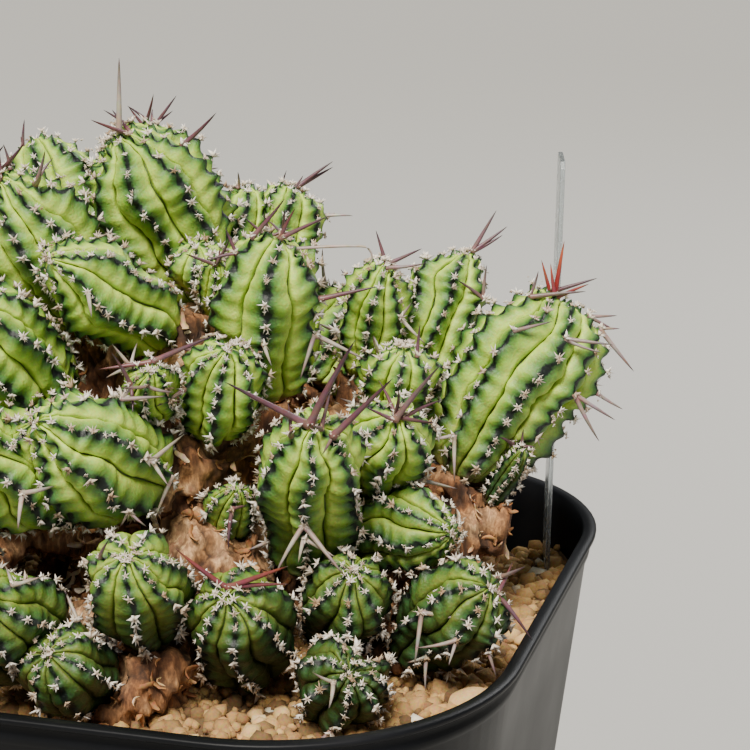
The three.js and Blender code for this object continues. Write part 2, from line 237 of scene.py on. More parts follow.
def scatter_tree(name, shapes):
    """Puts one of the shapes on every point, stood up along 'aim', turned by 'twist' and sized by
    'width' and 'reach', and makes the result real."""
    tree, entry, leave = new_tree(name, {"Scale": "NodeSocketFloat", "Material": "NodeSocketMaterial"})
    joined = tree.nodes.new("GeometryNodeJoinGeometry")
    for shape in reversed(shapes):
        wanted = {"Object": shape, "As Instance": True}
        plug(tree, joined, {0: add(tree, "GeometryNodeObjectInfo", {}, wanted, "Geometry")})
    kinds = {"aim": "FLOAT_VECTOR", "twist": "FLOAT", "width": "FLOAT", "reach": "FLOAT", "shape": "INT"}
    stored = {
        key: add(tree, "GeometryNodeInputNamedAttribute", {"data_type": kind}, {"Name": key})
        for key, kind in kinds.items()
    }
    stood = add(tree, "FunctionNodeAlignRotationToVector", {"axis": "Z"}, {"Vector": stored["aim"]})
    turn = {"Axis": (0, 0, 1), "Angle": stored["twist"]}
    twist = add(tree, "FunctionNodeAxisAngleToRotation", {}, turn)
    both = {"Rotation": stood, "Rotate By": twist}
    turned = add(tree, "FunctionNodeRotateRotation", {"rotation_space": "LOCAL"}, both)
    thick = stored["width"]
    sizes = add(tree, "ShaderNodeCombineXYZ", {}, {"X": thick, "Y": thick, "Z": stored["reach"]})
    grown = {0: sizes, "Scale": entry.outputs["Scale"]}
    placing = {
        "Points": entry.outputs["Geometry"],
        "Instance": joined.outputs[0],
        "Pick Instance": True,
        "Instance Index": stored["shape"],
        "Rotation": turned,
        "Scale": add(tree, "ShaderNodeVectorMath", {"operation": "SCALE"}, grown),
    }
    placed = add(tree, "GeometryNodeInstanceOnPoints", {}, placing)
    real = add(tree, "GeometryNodeRealizeInstances", {}, {"Geometry": placed})
    coat = {"Geometry": real, "Material": entry.outputs["Material"]}
    plug(tree, leave, {0: add(tree, "GeometryNodeSetMaterial", {}, coat)})
    return tree


def scatter(name, tree, roots, material):
    """Scatters a tree's shapes over a list of roots, which are dictionaries of place, aim, width,
    reach, twist, shape and tone."""
    points = new_object(name + "_points", [r["place"] for r in roots], [])
    set_attribute(points, "aim", [r["aim"] for r in roots], "FLOAT_VECTOR")
    for key in ("width", "reach", "twist", "tone"):
        set_attribute(points, key, [r[key] for r in roots])
    indices = points.data.attributes.new("shape", "INT", "POINT")
    indices.data.foreach_set("value", [r["shape"] for r in roots])
    made = run_tree(points, tree, {"Scale": MM, "Material": material}, name)
    made.data.polygons.foreach_set("use_smooth", [True] * len(made.data.polygons))
    return made


# ---- Materials ----
# The ways that a Mix node lays its second colour (7) on its first (6). Its colour is output 2.
COVER = {"data_type": "RGBA"}
MULTIPLY = {"data_type": "RGBA", "blend_type": "MULTIPLY"}
SOFT_LIGHT = {"data_type": "RGBA", "blend_type": "SOFT_LIGHT"}
OVERLAY = {"data_type": "RGBA", "blend_type": "OVERLAY"}
SMOOTH = {"interpolation_type": "SMOOTHSTEP"}
OUT = {"attribute_name": "out"}  # how far out along a shape a point is, from 0 to 1
TONE = {"attribute_name": "tone"}  # how old or how pale one shape is, from 0 to 1


def waxy_green_skin():
    """Living succulent skin: a dull wax over green flesh, bright on the flanks, deep blue-green along
    the ribs, near black along them and in the notches between the eyes, partly the ribs' own dark colour
    and partly painted shade, painted shade that darkens the lower heads and each head's foot, a dark line
    in each furrow and cork at the foot."""
    material, tree, surface = new_material("waxy_green_skin")
    place = add(tree, "ShaderNodeTexCoord", out="Object")
    furrow, notch, band, cork, shade = [
        add(tree, "ShaderNodeAttribute", {"attribute_name": name}, out="Fac")
        for name in ("furrow", "notch", "band", "cork", "shade")
    ]
    mottle = add(tree, "ShaderNodeTexNoise", {}, {"Vector": place, "Scale": 1 / (3.5 * MM), "Detail": 4.0})
    speck = add(tree, "ShaderNodeTexNoise", {}, {"Vector": place, "Scale": 1 / (0.5 * MM), "Detail": 2.0})
    wander = add(tree, "ShaderNodeMath", {"operation": "MULTIPLY_ADD"}, {0: mottle, 1: 0.22, 2: furrow})
    shifted = add(tree, "ShaderNodeMath", {"operation": "SUBTRACT"}, {0: wander, 1: 0.11})
    stops = [(0.0, "#21381f"), (0.17, "#3f682b"), (0.4, "#86ac3a"), (0.8, "#bfd65c"), (1.0, "#9cb846")]
    across = add(tree, "ShaderNodeValToRGB", {"stops": stops}, {"Fac": shifted})
    # Painted shade: the 'shade' pattern multiplies the green darker on the lower heads and towards each
    # head's foot.
    low = add(tree, "ShaderNodeMix", MULTIPLY, {"Factor": shade, 6: across, 7: linear("#15290f")}, 2)
    banded = add(tree, "ShaderNodeMix", COVER, {"Factor": band, 6: low, 7: linear("#3c6236")}, 2)
    grains = {"Factor": 0.55, 6: banded, 7: speck.node.outputs["Color"]}
    speckled = add(tree, "ShaderNodeMix", SOFT_LIGHT, grains, 2)
    line = add(tree, "ShaderNodeMapRange", SMOOTH, {"Value": furrow, "From Min": 0.965, "From Max": 1.0})
    lined = add(tree, "ShaderNodeMix", COVER, {"Factor": line, 6: speckled, 7: linear("#2b3c1e")}, 2)
    # Painted shade: near black along each rib and darkest in the notches between the eyes, partly the rib's
    # own dark colour, with a ragged edge from the speckle.
    ragged = add(tree, "ShaderNodeMath", {"operation": "MULTIPLY_ADD"}, {0: speck, 1: 0.7, 2: notch})
    dark = add(tree, "ShaderNodeMapRange", SMOOTH, {"Value": ragged, "From Min": 0.58, "From Max": 1.02})
    notched = add(tree, "ShaderNodeMix", COVER, {"Factor": dark, 6: lined, 7: linear("#0a140e")}, 2)
    corky = add(tree, "ShaderNodeMix", COVER, {"Factor": cork, 6: notched, 7: linear("#6e5238")}, 2)
    bump = add(tree, "ShaderNodeBump", {}, {"Strength": 0.6, "Distance": 0.25 * MM, "Height": speck})
    rough = add(tree, "ShaderNodeMapRange", {}, {"Value": mottle, "To Min": 0.42, "To Max": 0.62})
    plug(tree, surface, {"Base Color": corky, "Normal": bump, "Roughness": rough, "IOR": 1.42})
    flesh = {"Weight": 0.06, "Radius": (0.5, 1.0, 0.25), "Scale": 0.8 * MM}
    plug(tree, surface, {"Subsurface " + key: value for key, value in flesh.items()})
    return material


def corky_bark():
    """Old euphorbia wood: corky, fibrous, orange-brown where it has peeled, grey-tan where it has
    weathered, with near-black painted shade in the cracks."""
    material, tree, surface = new_material("corky_bark")
    place = add(tree, "ShaderNodeTexCoord", out="Object")
    crack = add(tree, "ShaderNodeAttribute", {"attribute_name": "crack"}, out="Fac")
    stretched = add(tree, "ShaderNodeMapping", {}, {"Vector": place, "Scale": (1.0, 1.0, 0.35)})
    patch = add(tree, "ShaderNodeTexNoise", {}, {"Vector": place, "Scale": 1 / (9 * MM), "Detail": 5.0})
    threads = {"Vector": stretched, "Scale": 1 / (0.9 * MM), "Detail": 6.0, "Roughness": 0.65}
    fibre = add(tree, "ShaderNodeTexNoise", {}, threads)
    stops = [(0.3, "#4a3322"), (0.42, "#80593b"), (0.52, "#a47e5b"), (0.62, "#c9ab88"), (0.75, "#80603f")]
    colour = add(tree, "ShaderNodeValToRGB", {"stops": stops}, {"Fac": patch})
    stops = [(0.34, "#5f4a36"), (0.5, "#9c8a74"), (0.66, "#efe0c6")]
    thread = add(tree, "ShaderNodeValToRGB", {"stops": stops}, {"Fac": fibre})
    grained = add(tree, "ShaderNodeMix", OVERLAY, {"Factor": 0.75, 6: colour, 7: thread}, 2)
    # Painted shade: the cracks are darkened to near black.
    cracked = add(tree, "ShaderNodeMix", COVER, {"Factor": crack, 6: grained, 7: linear("#2a1a10")}, 2)
    bump = add(tree, "ShaderNodeBump", {}, {"Strength": 0.7, "Distance": 0.5 * MM, "Height": fibre})
    plug(tree, surface, {"Base Color": cracked, "Normal": bump, "Roughness": 0.85})
    return material


def dry_star():
    """Dried flower stalks: papery, cream at the ends, brown at the heart, some weathered grey."""
    material, tree, surface = new_material("dry_star")
    out = add(tree, "ShaderNodeAttribute", OUT, out="Fac")
    tone = add(tree, "ShaderNodeAttribute", TONE, out="Fac")
    stops = [(0.0, "#6b5442"), (0.3, "#d6c9b6"), (0.7, "#faf5ec"), (1.0, "#efe3d0")]
    length = add(tree, "ShaderNodeValToRGB", {"stops": stops}, {"Fac": out})
    aged = add(tree, "ShaderNodeMix", MULTIPLY, {"Factor": tone, 6: length, 7: linear("#b59c80")}, 2)
    plug(tree, surface, {"Base Color": aged, "Roughness": 0.8})
    return material


def horny_spine():
    """Horn-like spines: red while they grow, then purple-brown with a pale foot and a dark point,
    and grey-beige when old."""
    material, tree, surface = new_material("horny_spine")
    place = add(tree, "ShaderNodeTexCoord", out="Object")
    out = add(tree, "ShaderNodeAttribute", OUT, out="Fac")
    tone = add(tree, "ShaderNodeAttribute", TONE, out="Fac")
    grain = {"Vector": place, "Scale": 1 / (1.2 * MM), "Detail": 3.0}
    streak = add(tree, "ShaderNodeTexNoise", {}, grain, "Color")
    stops = [(0.0, "#7a5650"), (0.25, "#67444b"), (0.7, "#51343c"), (0.92, "#2c1a20"), (1.0, "#160d10")]
    grown = add(tree, "ShaderNodeValToRGB", {"stops": stops}, {"Fac": out})
    stops = [(0.0, "#9a8674"), (0.4, "#b3a698"), (0.8, "#85766c"), (1.0, "#3f3129")]
    old = add(tree, "ShaderNodeValToRGB", {"stops": stops}, {"Fac": out})
    stops = [(0.0, "#7c2029"), (0.45, "#9c2c2a"), (0.85, "#bb5a35"), (1.0, "#4a2018")]
    fresh = add(tree, "ShaderNodeValToRGB", {"stops": stops}, {"Fac": out})
    to_old = add(tree, "ShaderNodeMapRange", {}, {"Value": tone, "From Min": 0.5, "From Max": 0.9})
    to_fresh = add(tree, "ShaderNodeMapRange", {}, {"Value": tone, "From Min": 0.4, "From Max": 0.05})
    aged = add(tree, "ShaderNodeMix", COVER, {"Factor": to_old, 6: grown, 7: old}, 2)
    reddened = add(tree, "ShaderNodeMix", COVER, {"Factor": to_fresh, 6: aged, 7: fresh}, 2)
    streaked = add(tree, "ShaderNodeMix", SOFT_LIGHT, {"Factor": 0.6, 6: reddened, 7: streak}, 2)
    plug(tree, surface, {"Base Color": streaked, "Roughness": 0.42})
    return material


def baked_clay_grain():
    """Porous clay grains: matt, ochre, each its own shade, with fine pits."""
    material, tree, surface = new_material("baked_clay_grain")
    place = add(tree, "ShaderNodeTexCoord", out="Object")
    tone = add(tree, "ShaderNodeAttribute", TONE, out="Fac")
    pits = add(tree, "ShaderNodeTexNoise", {}, {"Vector": place, "Scale": 1 / (0.5 * MM), "Detail": 3.0})
    stops = [(0.0, "#624a2e"), (0.35, "#9c784a"), (0.7, "#bd965e"), (0.94, "#cfae79"), (1.0, "#d9cfba")]
    colour = add(tree, "ShaderNodeValToRGB", {"stops": stops}, {"Fac": tone})
    pores = {"Factor": 0.7, 6: colour, 7: pits.node.outputs["Color"]}
    pitted = add(tree, "ShaderNodeMix", SOFT_LIGHT, pores, 2)
    bump = add(tree, "ShaderNodeBump", {}, {"Strength": 0.6, "Distance": 0.25 * MM, "Height": pits})
    plug(tree, surface, {"Base Color": pitted, "Normal": bump, "Roughness": 0.95})
    return material


def moulded_black_plastic():
    """Injection-moulded polypropylene: near black, a soft sheen with a fine orange-peel ripple, and a
    little pale dust that dulls it in patches and takes most of the gleam."""
    material, tree, surface = new_material("moulded_black_plastic")
    place = add(tree, "ShaderNodeTexCoord", out="Object")
    dust = add(tree, "ShaderNodeTexNoise", {}, {"Vector": place, "Scale": 1 / (26 * MM), "Detail": 7.0})
    peel = add(tree, "ShaderNodeTexNoise", {}, {"Vector": place, "Scale": 1 / (0.9 * MM), "Detail": 2.0})
    stops = [(0.35, "#0c0d0f"), (0.62, "#101114"), (0.78, "#1b1b1d")]
    colour = add(tree, "ShaderNodeValToRGB", {"stops": stops}, {"Fac": dust})
    rough = add(tree, "ShaderNodeMapRange", {}, {"Value": dust, "To Min": 0.32, "To Max": 0.52})
    bump = add(tree, "ShaderNodeBump", {}, {"Strength": 0.12, "Distance": 0.1 * MM, "Height": peel})
    plug(tree, surface, {"Base Color": colour, "Normal": bump, "Roughness": rough})
    plug(tree, surface, {"Specular IOR Level": 0.14})
    return material


def clear_label_plastic():
    """Clear vinyl sheet, a little hazy and scuffed, that shows mostly by the gleam along its edges."""
    material, tree, surface = new_material("clear_label_plastic")
    place = add(tree, "ShaderNodeTexCoord", out="Object")
    scuff = add(tree, "ShaderNodeTexNoise", {}, {"Vector": place, "Scale": 1 / (5 * MM), "Detail": 6.0})
    rough = add(tree, "ShaderNodeMapRange", {}, {"Value": scuff, "To Min": 0.08, "To Max": 0.4})
    plug(tree, surface, {"Base Color": linear("#dfe6e8"), "Roughness": rough, "IOR": 1.53})
    plug(tree, surface, {"Transmission Weight": 0.9})
    return material


def papery_bark():
    """Scraps of peeling bark: thin and dry, from straw and pale beige to orange-brown."""
    material, tree, surface = new_material("papery_bark")
    place = add(tree, "ShaderNodeTexCoord", out="Object")
    tone = add(tree, "ShaderNodeAttribute", TONE, out="Fac")
    grain = {"Vector": place, "Scale": 1 / (0.6 * MM), "Detail": 4.0}
    fibre = add(tree, "ShaderNodeTexNoise", {}, grain, "Color")
    stops = [(0.0, "#8a5a34"), (0.35, "#b5814f"), (0.65, "#cfa97c"), (0.9, "#e8d6ba"), (1.0, "#f2e8d8")]
    colour = add(tree, "ShaderNodeValToRGB", {"stops": stops}, {"Fac": tone})
    streaked = add(tree, "ShaderNodeMix", OVERLAY, {"Factor": 0.6, 6: colour, 7: fibre}, 2)
    plug(tree, surface, {"Base Color": streaked, "Roughness": 0.8})
    return material


GREEN = waxy_green_skin()
PAPER = papery_bark()
BARK = corky_bark()
STAR = dry_star()
HORN = horny_spine()
CLAY = baked_clay_grain()
PLASTIC = moulded_black_plastic()
CLEAR = clear_label_plastic()

# ---- Heads: the plain solid's rings, refined into ribbed skin ----


def merged_mesh(node):
    """A CAD node's mesh with its loose triangles joined."""
    mesh = bmesh.new()
    mesh.from_mesh(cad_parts[node].data)
    bmesh.ops.remove_doubles(mesh, verts=mesh.verts, dist=0.002 * MM)
    mesh.verts.ensure_lookup_table()
    return mesh


def ring_grid(node, heart):
    """Reads a head's solid back as its foot, its rings of ridge and furrow points, and its tip, in
    millimetres. Even columns are ridges. The foot is the end nearer the clump's heart."""
    mesh = merged_mesh(node)
    ends = sorted(mesh.verts, key=lambda v: -len(v.link_edges))[:2]
    ends.sort(key=lambda v: (v.co - heart).length)
    foot, tip = ends
    level = {foot: 0}
    frontier = [foot]
    while frontier:
        reached = []
        for vertex in frontier:
            for edge in vertex.link_edges:
                other = edge.other_vert(vertex)
                if other not in level:
                    level[other] = level[vertex] + 1
                    reached.append(other)
        frontier = reached
    count = level[tip] - 1
    around = len(foot.link_edges)

    def beside(vertex):
        joined = [edge.other_vert(vertex) for edge in vertex.link_edges]
        return [v for v in joined if level[v] == level[vertex]]

    first = [foot.link_edges[0].other_vert(foot)]
    first.append(beside(first[0])[0])
    while len(first) < around:
        first.append([v for v in beside(first[-1]) if v is not first[-2]][0])
    rings = [first]
    for ring in range(2, count + 1):
        above = []
        for vertex in rings[-1]:
            joined = [edge.other_vert(vertex) for edge in vertex.link_edges]
            above.append({v for v in joined if level[v] == ring})
        shared = [above[k - 1] & above[k] for k in range(around)]
        options = [[next(iter(shared[(k + pick) % around])) for k in range(around)] for pick in (0, 1)]
        lengths = [sum((a.co - b.co).length for a, b in zip(line, rings[-1])) for line in options]
        rings.append(options[lengths.index(min(lengths))])
    grid = np.array([[v.co / MM for v in ring] for ring in rings])
    ends = np.array(foot.co / MM), np.array(tip.co / MM)
    mesh.free()
    out = grid - grid.mean(axis=1, keepdims=True)
    turning = np.cross(out, np.roll(out, -1, axis=1)).sum(axis=(0, 1))
    if turning @ (ends[1] - ends[0]) < 0:
        grid, out = grid[:, ::-1], out[:, ::-1]
    spread = np.linalg.norm(out, axis=2).sum(axis=0)
    odd = int(spread[1::2].sum() > spread[::2].sum())
    frontness = (out @ np.array(clump_direction(0, -1, 0.2))).sum(axis=0)
    first_ridge = odd + 2 * int(np.argmax(frontness[odd::2]))
    return ends[0], np.roll(grid, -first_ridge, axis=1), ends[1]


def smooth_rows(foot, grid, tip):
    """Runs a smooth curve up each column, through the end points and over to the opposite column."""
    columns = grid.shape[1]
    opposite = (np.arange(columns) + columns // 2) % columns
    ends = np.repeat([[foot]], columns, axis=1), np.repeat([[tip]], columns, axis=1)
    knots = np.concatenate([grid[:1, opposite], ends[0], grid, ends[1], grid[-1:, opposite]])
    steps = np.linalg.norm(np.diff(knots, axis=0), axis=2).mean(axis=1)
    times = np.concatenate([[0], np.cumsum(steps)])
    slopes = np.zeros_like(knots)
    speeds = np.diff(knots, axis=0) / steps[:, None, None]
    for k in range(1, len(knots) - 1):
        before, after = steps[k - 1], steps[k]
        slopes[k] = (speeds[k] * before + speeds[k - 1] * after) / (before + after)
    rows = max(24, int(round((times[-2] - times[1]) / ROW_STEP)))
    wanted = np.linspace(times[1], times[-2], rows + 1)
    part = np.clip(np.searchsorted(times, wanted, side="right") - 1, 1, len(times) - 3)
    width = steps[part][:, None, None]
    t = ((wanted - times[part])[:, None, None]) / width
    start, end = knots[part], knots[part + 1]
    out_slope, in_slope = slopes[part] * width, slopes[part + 1] * width
    return (
        start * (2 * t**3 - 3 * t**2 + 1)
        + out_slope * (t**3 - 2 * t**2 + t)
        + end * (3 * t**2 - 2 * t**3)
        + in_slope * (t**3 - t**2)
    )


def lengths_up(line):
    """How far up a line of points each one is."""
    return np.concatenate([[0], np.cumsum(np.linalg.norm(np.diff(line, axis=0), axis=1))])


def eye_places(length, scale, start):
    """How far up a rib its eyes are: evenly spaced, and crowded towards the tip."""
    places = []
    place = start
    while place < length - 0.7:
        places.append(place)
        to_tip = length - place
        place += scale * EYE_SPACING * min(1.0, 0.42 + 0.58 * to_tip / (9 * scale))
    return np.array(places)


def unit(vectors):
    """Each vector of an array at length 1."""
    return vectors / np.maximum(np.linalg.norm(vectors, axis=-1, keepdims=True), 1e-9)


def grow_head(number, heart):
    """Builds a head's skin and returns it with its eyes."""
    node = f"head_{number:02d}"
    draw = random.Random(1000 + number)
    foot, grid, tip = ring_grid(node, heart)
    rows = smooth_rows(foot, grid, tip)
    ribs = grid.shape[1] // 2
    girth = np.linalg.norm(grid - grid.mean(axis=1, keepdims=True), axis=2).max()
    scale = min(1.15, 0.35 + 0.65 * girth / FULL_GIRTH)
    centre = rows.mean(axis=1)
    columns, furrows, phases, eyes = [], [], [], []
    for rib in range(ribs):
        ridge = rows[:, 2 * rib]
        up_ridge = lengths_up(ridge)
        places = eye_places(up_ridge[-1], scale, draw.uniform(2.0, 4.0) * scale)
        index = np.interp(up_ridge, places, np.arange(len(places)))
        below = up_ridge < places[0]
        index[below] = (up_ridge[below] - places[0]) / (EYE_SPACING * scale)
        eyes.append((rib, places, up_ridge))
        for w in FLANK_COLUMNS:
            valley = rows[:, (2 * rib + (1 if w > 0 else -1)) % (2 * ribs)]
            out_ridge, out_valley = ridge - centre, valley - centre
            far_ridge = np.linalg.norm(out_ridge, axis=1, keepdims=True)
            far_valley = np.linalg.norm(out_valley, axis=1, keepdims=True)
            way = unit(unit(out_ridge) * (1 - abs(w)) + unit(out_valley) * abs(w))
            reach = far_valley + (far_ridge - far_valley) * (1 - abs(w) ** RIB_SHARPNESS)
            columns.append(centre + way * reach)
            furrows.append(abs(w))
            phases.append(index)
    surface = np.stack(columns, axis=1)
    furrow = np.array(furrows)[None, :]
    phase = np.stack(phases, axis=1)
    return dress_head(node, draw, surface, furrow, phase, scale, eyes)


def smoothstep(low, high, value):
    """0 below low, 1 above high, and a smooth rise between."""
    t = np.clip((value - low) / (high - low), 0, 1)
    return t * t * (3 - 2 * t)


def growth_warp(point):
    """How far growth has pushed a point aside. Neighbouring heads are pushed together."""
    place = Vector(point) / WARP_SIZE
    return [noise.noise(place + shift) for shift in WARP_SHIFTS]


def dress_head(node, draw, surface, furrow, phase, scale, eyes):
    """Adds tubercles, notches, ripples and creases to a head's smooth surface, and stores the
    patterns that its colours follow."""
    rows, columns = surface.shape[:2]
    surface = surface + WARP * np.array([[growth_warp(p) for p in row] for row in surface])
    along = np.gradient(surface, axis=0)
    across = np.roll(surface, -1, axis=1) - np.roll(surface, 1, axis=1)
    normal = unit(np.cross(across, along))
    centre = surface.mean(axis=1, keepdims=True)
    normal *= np.sign((normal * (surface - centre)).sum(axis=2, keepdims=True) + 1e-9)
    share = np.linspace(0, 1, rows)[:, None]
    ends = smoothstep(0.0, 0.08, share) * smoothstep(0.0, 0.05, 1 - share)
    beat = 0.5 + 0.5 * np.cos(2 * np.pi * phase)
    drift = np.array([[noise.noise(Vector(p) / 2.6) for p in row] for row in surface])
    lag = 0.5 + 0.5 * np.cos(2 * np.pi * (phase + 0.3 * furrow + 0.35 * drift))
    teeth = 0.5 + 0.5 * np.cos(4 * np.pi * (phase + 0.12 * furrow + 0.2 * drift))
    on_rib = np.exp(-((furrow / 0.2) ** 2))
    near_rib = np.exp(-((furrow / 0.36) ** 2))
    on_flank = smoothstep(0.12, 0.4, furrow) * (1 - smoothstep(0.8, 1.0, furrow))
    in_furrow = np.exp(-(((1 - furrow) / 0.05) ** 2))
    crowded = 1 + 0.9 * smoothstep(0.72, 0.95, share)
    lift = TUBERCLE_HEIGHT * crowded * beat**1.5 * on_rib - NOTCH_DEPTH * crowded * (1 - beat) * near_rib
    lift = lift + RIPPLE_HEIGHT * (lag - 0.5) * on_flank - CREASE_DEPTH * in_furrow
    lift = lift + PILLOW_HEIGHT * np.sin(np.pi * furrow**1.3)
    rough = np.array([[noise.noise(Vector(p) / 3.2) for p in row] for row in surface])
    lift = (lift + 0.28 * rough) * ends * scale
    surface = surface + normal * lift[:, :, None]
    # This pattern is near black along the ribs, partly their own dark colour and partly painted shade,
    # darkest in the notches between the eyes.
    reach = 0.12 + 0.12 * teeth + 0.09 * drift
    notch = np.exp(-((furrow / reach) ** 2)) * (0.35 + 0.65 * (1 - beat) ** 0.8)
    notch = np.clip(1.1 * notch, 0, 1) * smoothstep(0.02, 0.2, share)
    band = 0.7 * (1 - lag) * (1 - smoothstep(0.3, 0.9, furrow)) * smoothstep(0.05, 0.25, furrow)
    cork = (1 - smoothstep(0.05, 0.2, share + 0.08 * rough)) * np.ones_like(phase)
    # Painted shade: the lower a point sits and the nearer it is to its head's foot, the darker the green.
    # The youngest sprouts also get a darker skin.
    height = (surface[:, :, 2] - SOIL_HEIGHT) / 90
    sprout = 0.45 if scale < 0.6 else 0.0  # the youngest sprouts are darker
    shade = np.clip(1.5 - 2.6 * height - 0.3 * share + sprout + draw.uniform(-0.06, 0.06), 0, 0.97)
    vertices = [surface[0].mean(axis=0)]
    vertices += list(surface[1:-1].reshape(-1, 3))
    vertices.append(surface[-1].mean(axis=0))
    faces = skin_faces(rows - 2, columns)
    piece = new_object("skin_" + node, np.array(vertices) * MM, faces)
    patterns = {
        "furrow": np.broadcast_to(furrow, phase.shape),
        "notch": notch,
        "band": band,
        "cork": cork,
        "shade": shade,
    }
    for name, values in patterns.items():
        inner = values[1:-1].ravel()
        set_attribute(piece, name, np.concatenate([[values[0].mean()], inner, [values[-1].mean()]]))
    paint(piece, GREEN)
    found = []
    for rib, places, up_ridge in eyes:
        column = rib * len(FLANK_COLUMNS) + FLANK_COLUMNS.index(0)
        for place in places:
            row = int(np.clip(np.searchsorted(up_ridge, place), 1, rows - 2))
            upward = unit(surface[min(row + 2, rows - 1), column] - surface[row - 1, column])
            out = unit(normal[row, column] + 0.15 * upward)
            found.append(
                {
                    "head": node,
                    "place": Vector(surface[row, column]),
                    "out": Vector(out),
                    "up": Vector(upward),
                    "side": Vector(upward).cross(Vector(out)).normalized(),
                    "share": place / up_ridge[-1],
                    "scale": scale,
                }
            )
    return piece, found


def skin_faces(rows, columns):
    """Faces between rows of points, closed by a point at each end."""
    faces = []
    last = rows * columns + 1
    for k in range(columns):
        after = (k + 1) % columns
        faces.append((0, 1 + after, 1 + k))
        faces.append((last, 1 + (rows - 1) * columns + k, 1 + (rows - 1) * columns + after))
        for row in range(rows - 1):
            base = 1 + row * columns
            faces.append((base + k, base + after, base + columns + after, base + columns + k))
    return faces


def point_outwards(piece):
    """Turns a closed piece's faces outwards if its rings ran the other way."""
    mesh = bmesh.new()
    mesh.from_mesh(piece.data)
    if mesh.calc_volume(signed=True) < 0:
        bmesh.ops.reverse_faces(mesh, faces=mesh.faces)
        mesh.to_mesh(piece.data)
    mesh.free()


head_names = sorted(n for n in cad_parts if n.startswith("head_"))
heart = Vector((0, 0, soil_high.z + 25 * MM))
eyes = []
skins = {}
for head_name in head_names:
    skin, head_eyes = grow_head(int(head_name[-2:]), heart)
    point_outwards(skin)
    finish_piece(skin, "green_flesh", head_name)
    skins[head_name] = skin
    eyes += head_eyes

# ---- Stars and spines ----


def star_shape(name, rays, draw):
    """A little dried star: rays that taper to a point from a low heart."""
    vertices = [(0, 0, 0.42), (0, 0, -0.3)]
    faces = []
    for k in range(rays):
        angle = 2 * math.pi * k / rays + draw.uniform(-0.25, 0.25)
        length = draw.uniform(0.6, 1.2)
        rise = draw.uniform(0.2, 0.9)
        base = len(vertices)
        sides = [(0.24, -0.75, 0.05), (0.24, 0.75, 0.05)]
        ridge = [(length, 0, rise), (0.22, 0, 0.45), (0.22, 0, -0.1)]  # tip, top and underside
        for far, turn, up in sides + ridge:
            vertices.append((far * math.cos(angle + turn), far * math.sin(angle + turn), up))
        faces += [(base, base + 2, base + 3), (base + 3, base + 2, base + 1)]
        faces += [(base + 1, base + 2, base + 4), (base + 4, base + 2, base)]
        faces += [(0, base, base + 3), (0, base + 3, base + 1)]
        faces += [(1, base + 1, base + 4), (1, base + 4, base)]
    piece = new_object(name, vertices, faces, smooth=False)
    set_attribute(piece, "out", [min(1.0, math.hypot(v[0], v[1])) for v in vertices])
    return piece


def spine_shape(name, bend):
    """A spine of length 1 and radius 1 at its foot, which swells, tapers and bends a little."""
    sides = 7
    profile = [(0.0, 1.25), (0.04, 1.15), (0.1, 0.9), (0.3, 0.82), (0.55, 0.64), (0.8, 0.4)]
    profile += [(0.93, 0.2), (1.0, 0.04)]
    rings = len(profile)
    vertices = []
    out = []
    for t, radius in profile:
        for k in range(sides):
            angle = 2 * math.pi * k / sides
            vertices.append((radius * math.cos(angle) + bend * t * t, radius * math.sin(angle), t))
            out.append(t)
    faces = [tuple(range(sides))[::-1]]
    for ring in range(rings - 1):
        for k in range(sides):
            a, b = ring * sides + k, ring * sides + (k + 1) % sides
            faces.append((a, b, b + sides, a + sides))
    faces.append(tuple((rings - 1) * sides + k for k in range(sides)))
    piece = new_object(name, vertices, faces)
    set_attribute(piece, "out", out)
    return piece


star_draw = random.Random(7)
star_shapes = [star_shape(f"star_{k}", rays, star_draw) for k, rays in enumerate((3, 5, 6, 6, 7))]
spine_shapes = [spine_shape(f"spine_{k}", bend) for k, bend in enumerate((0.0, 1.6, -2.4))]
star_tree = scatter_tree("sow_stars", star_shapes)
spine_tree = scatter_tree("grow_spines", spine_shapes)

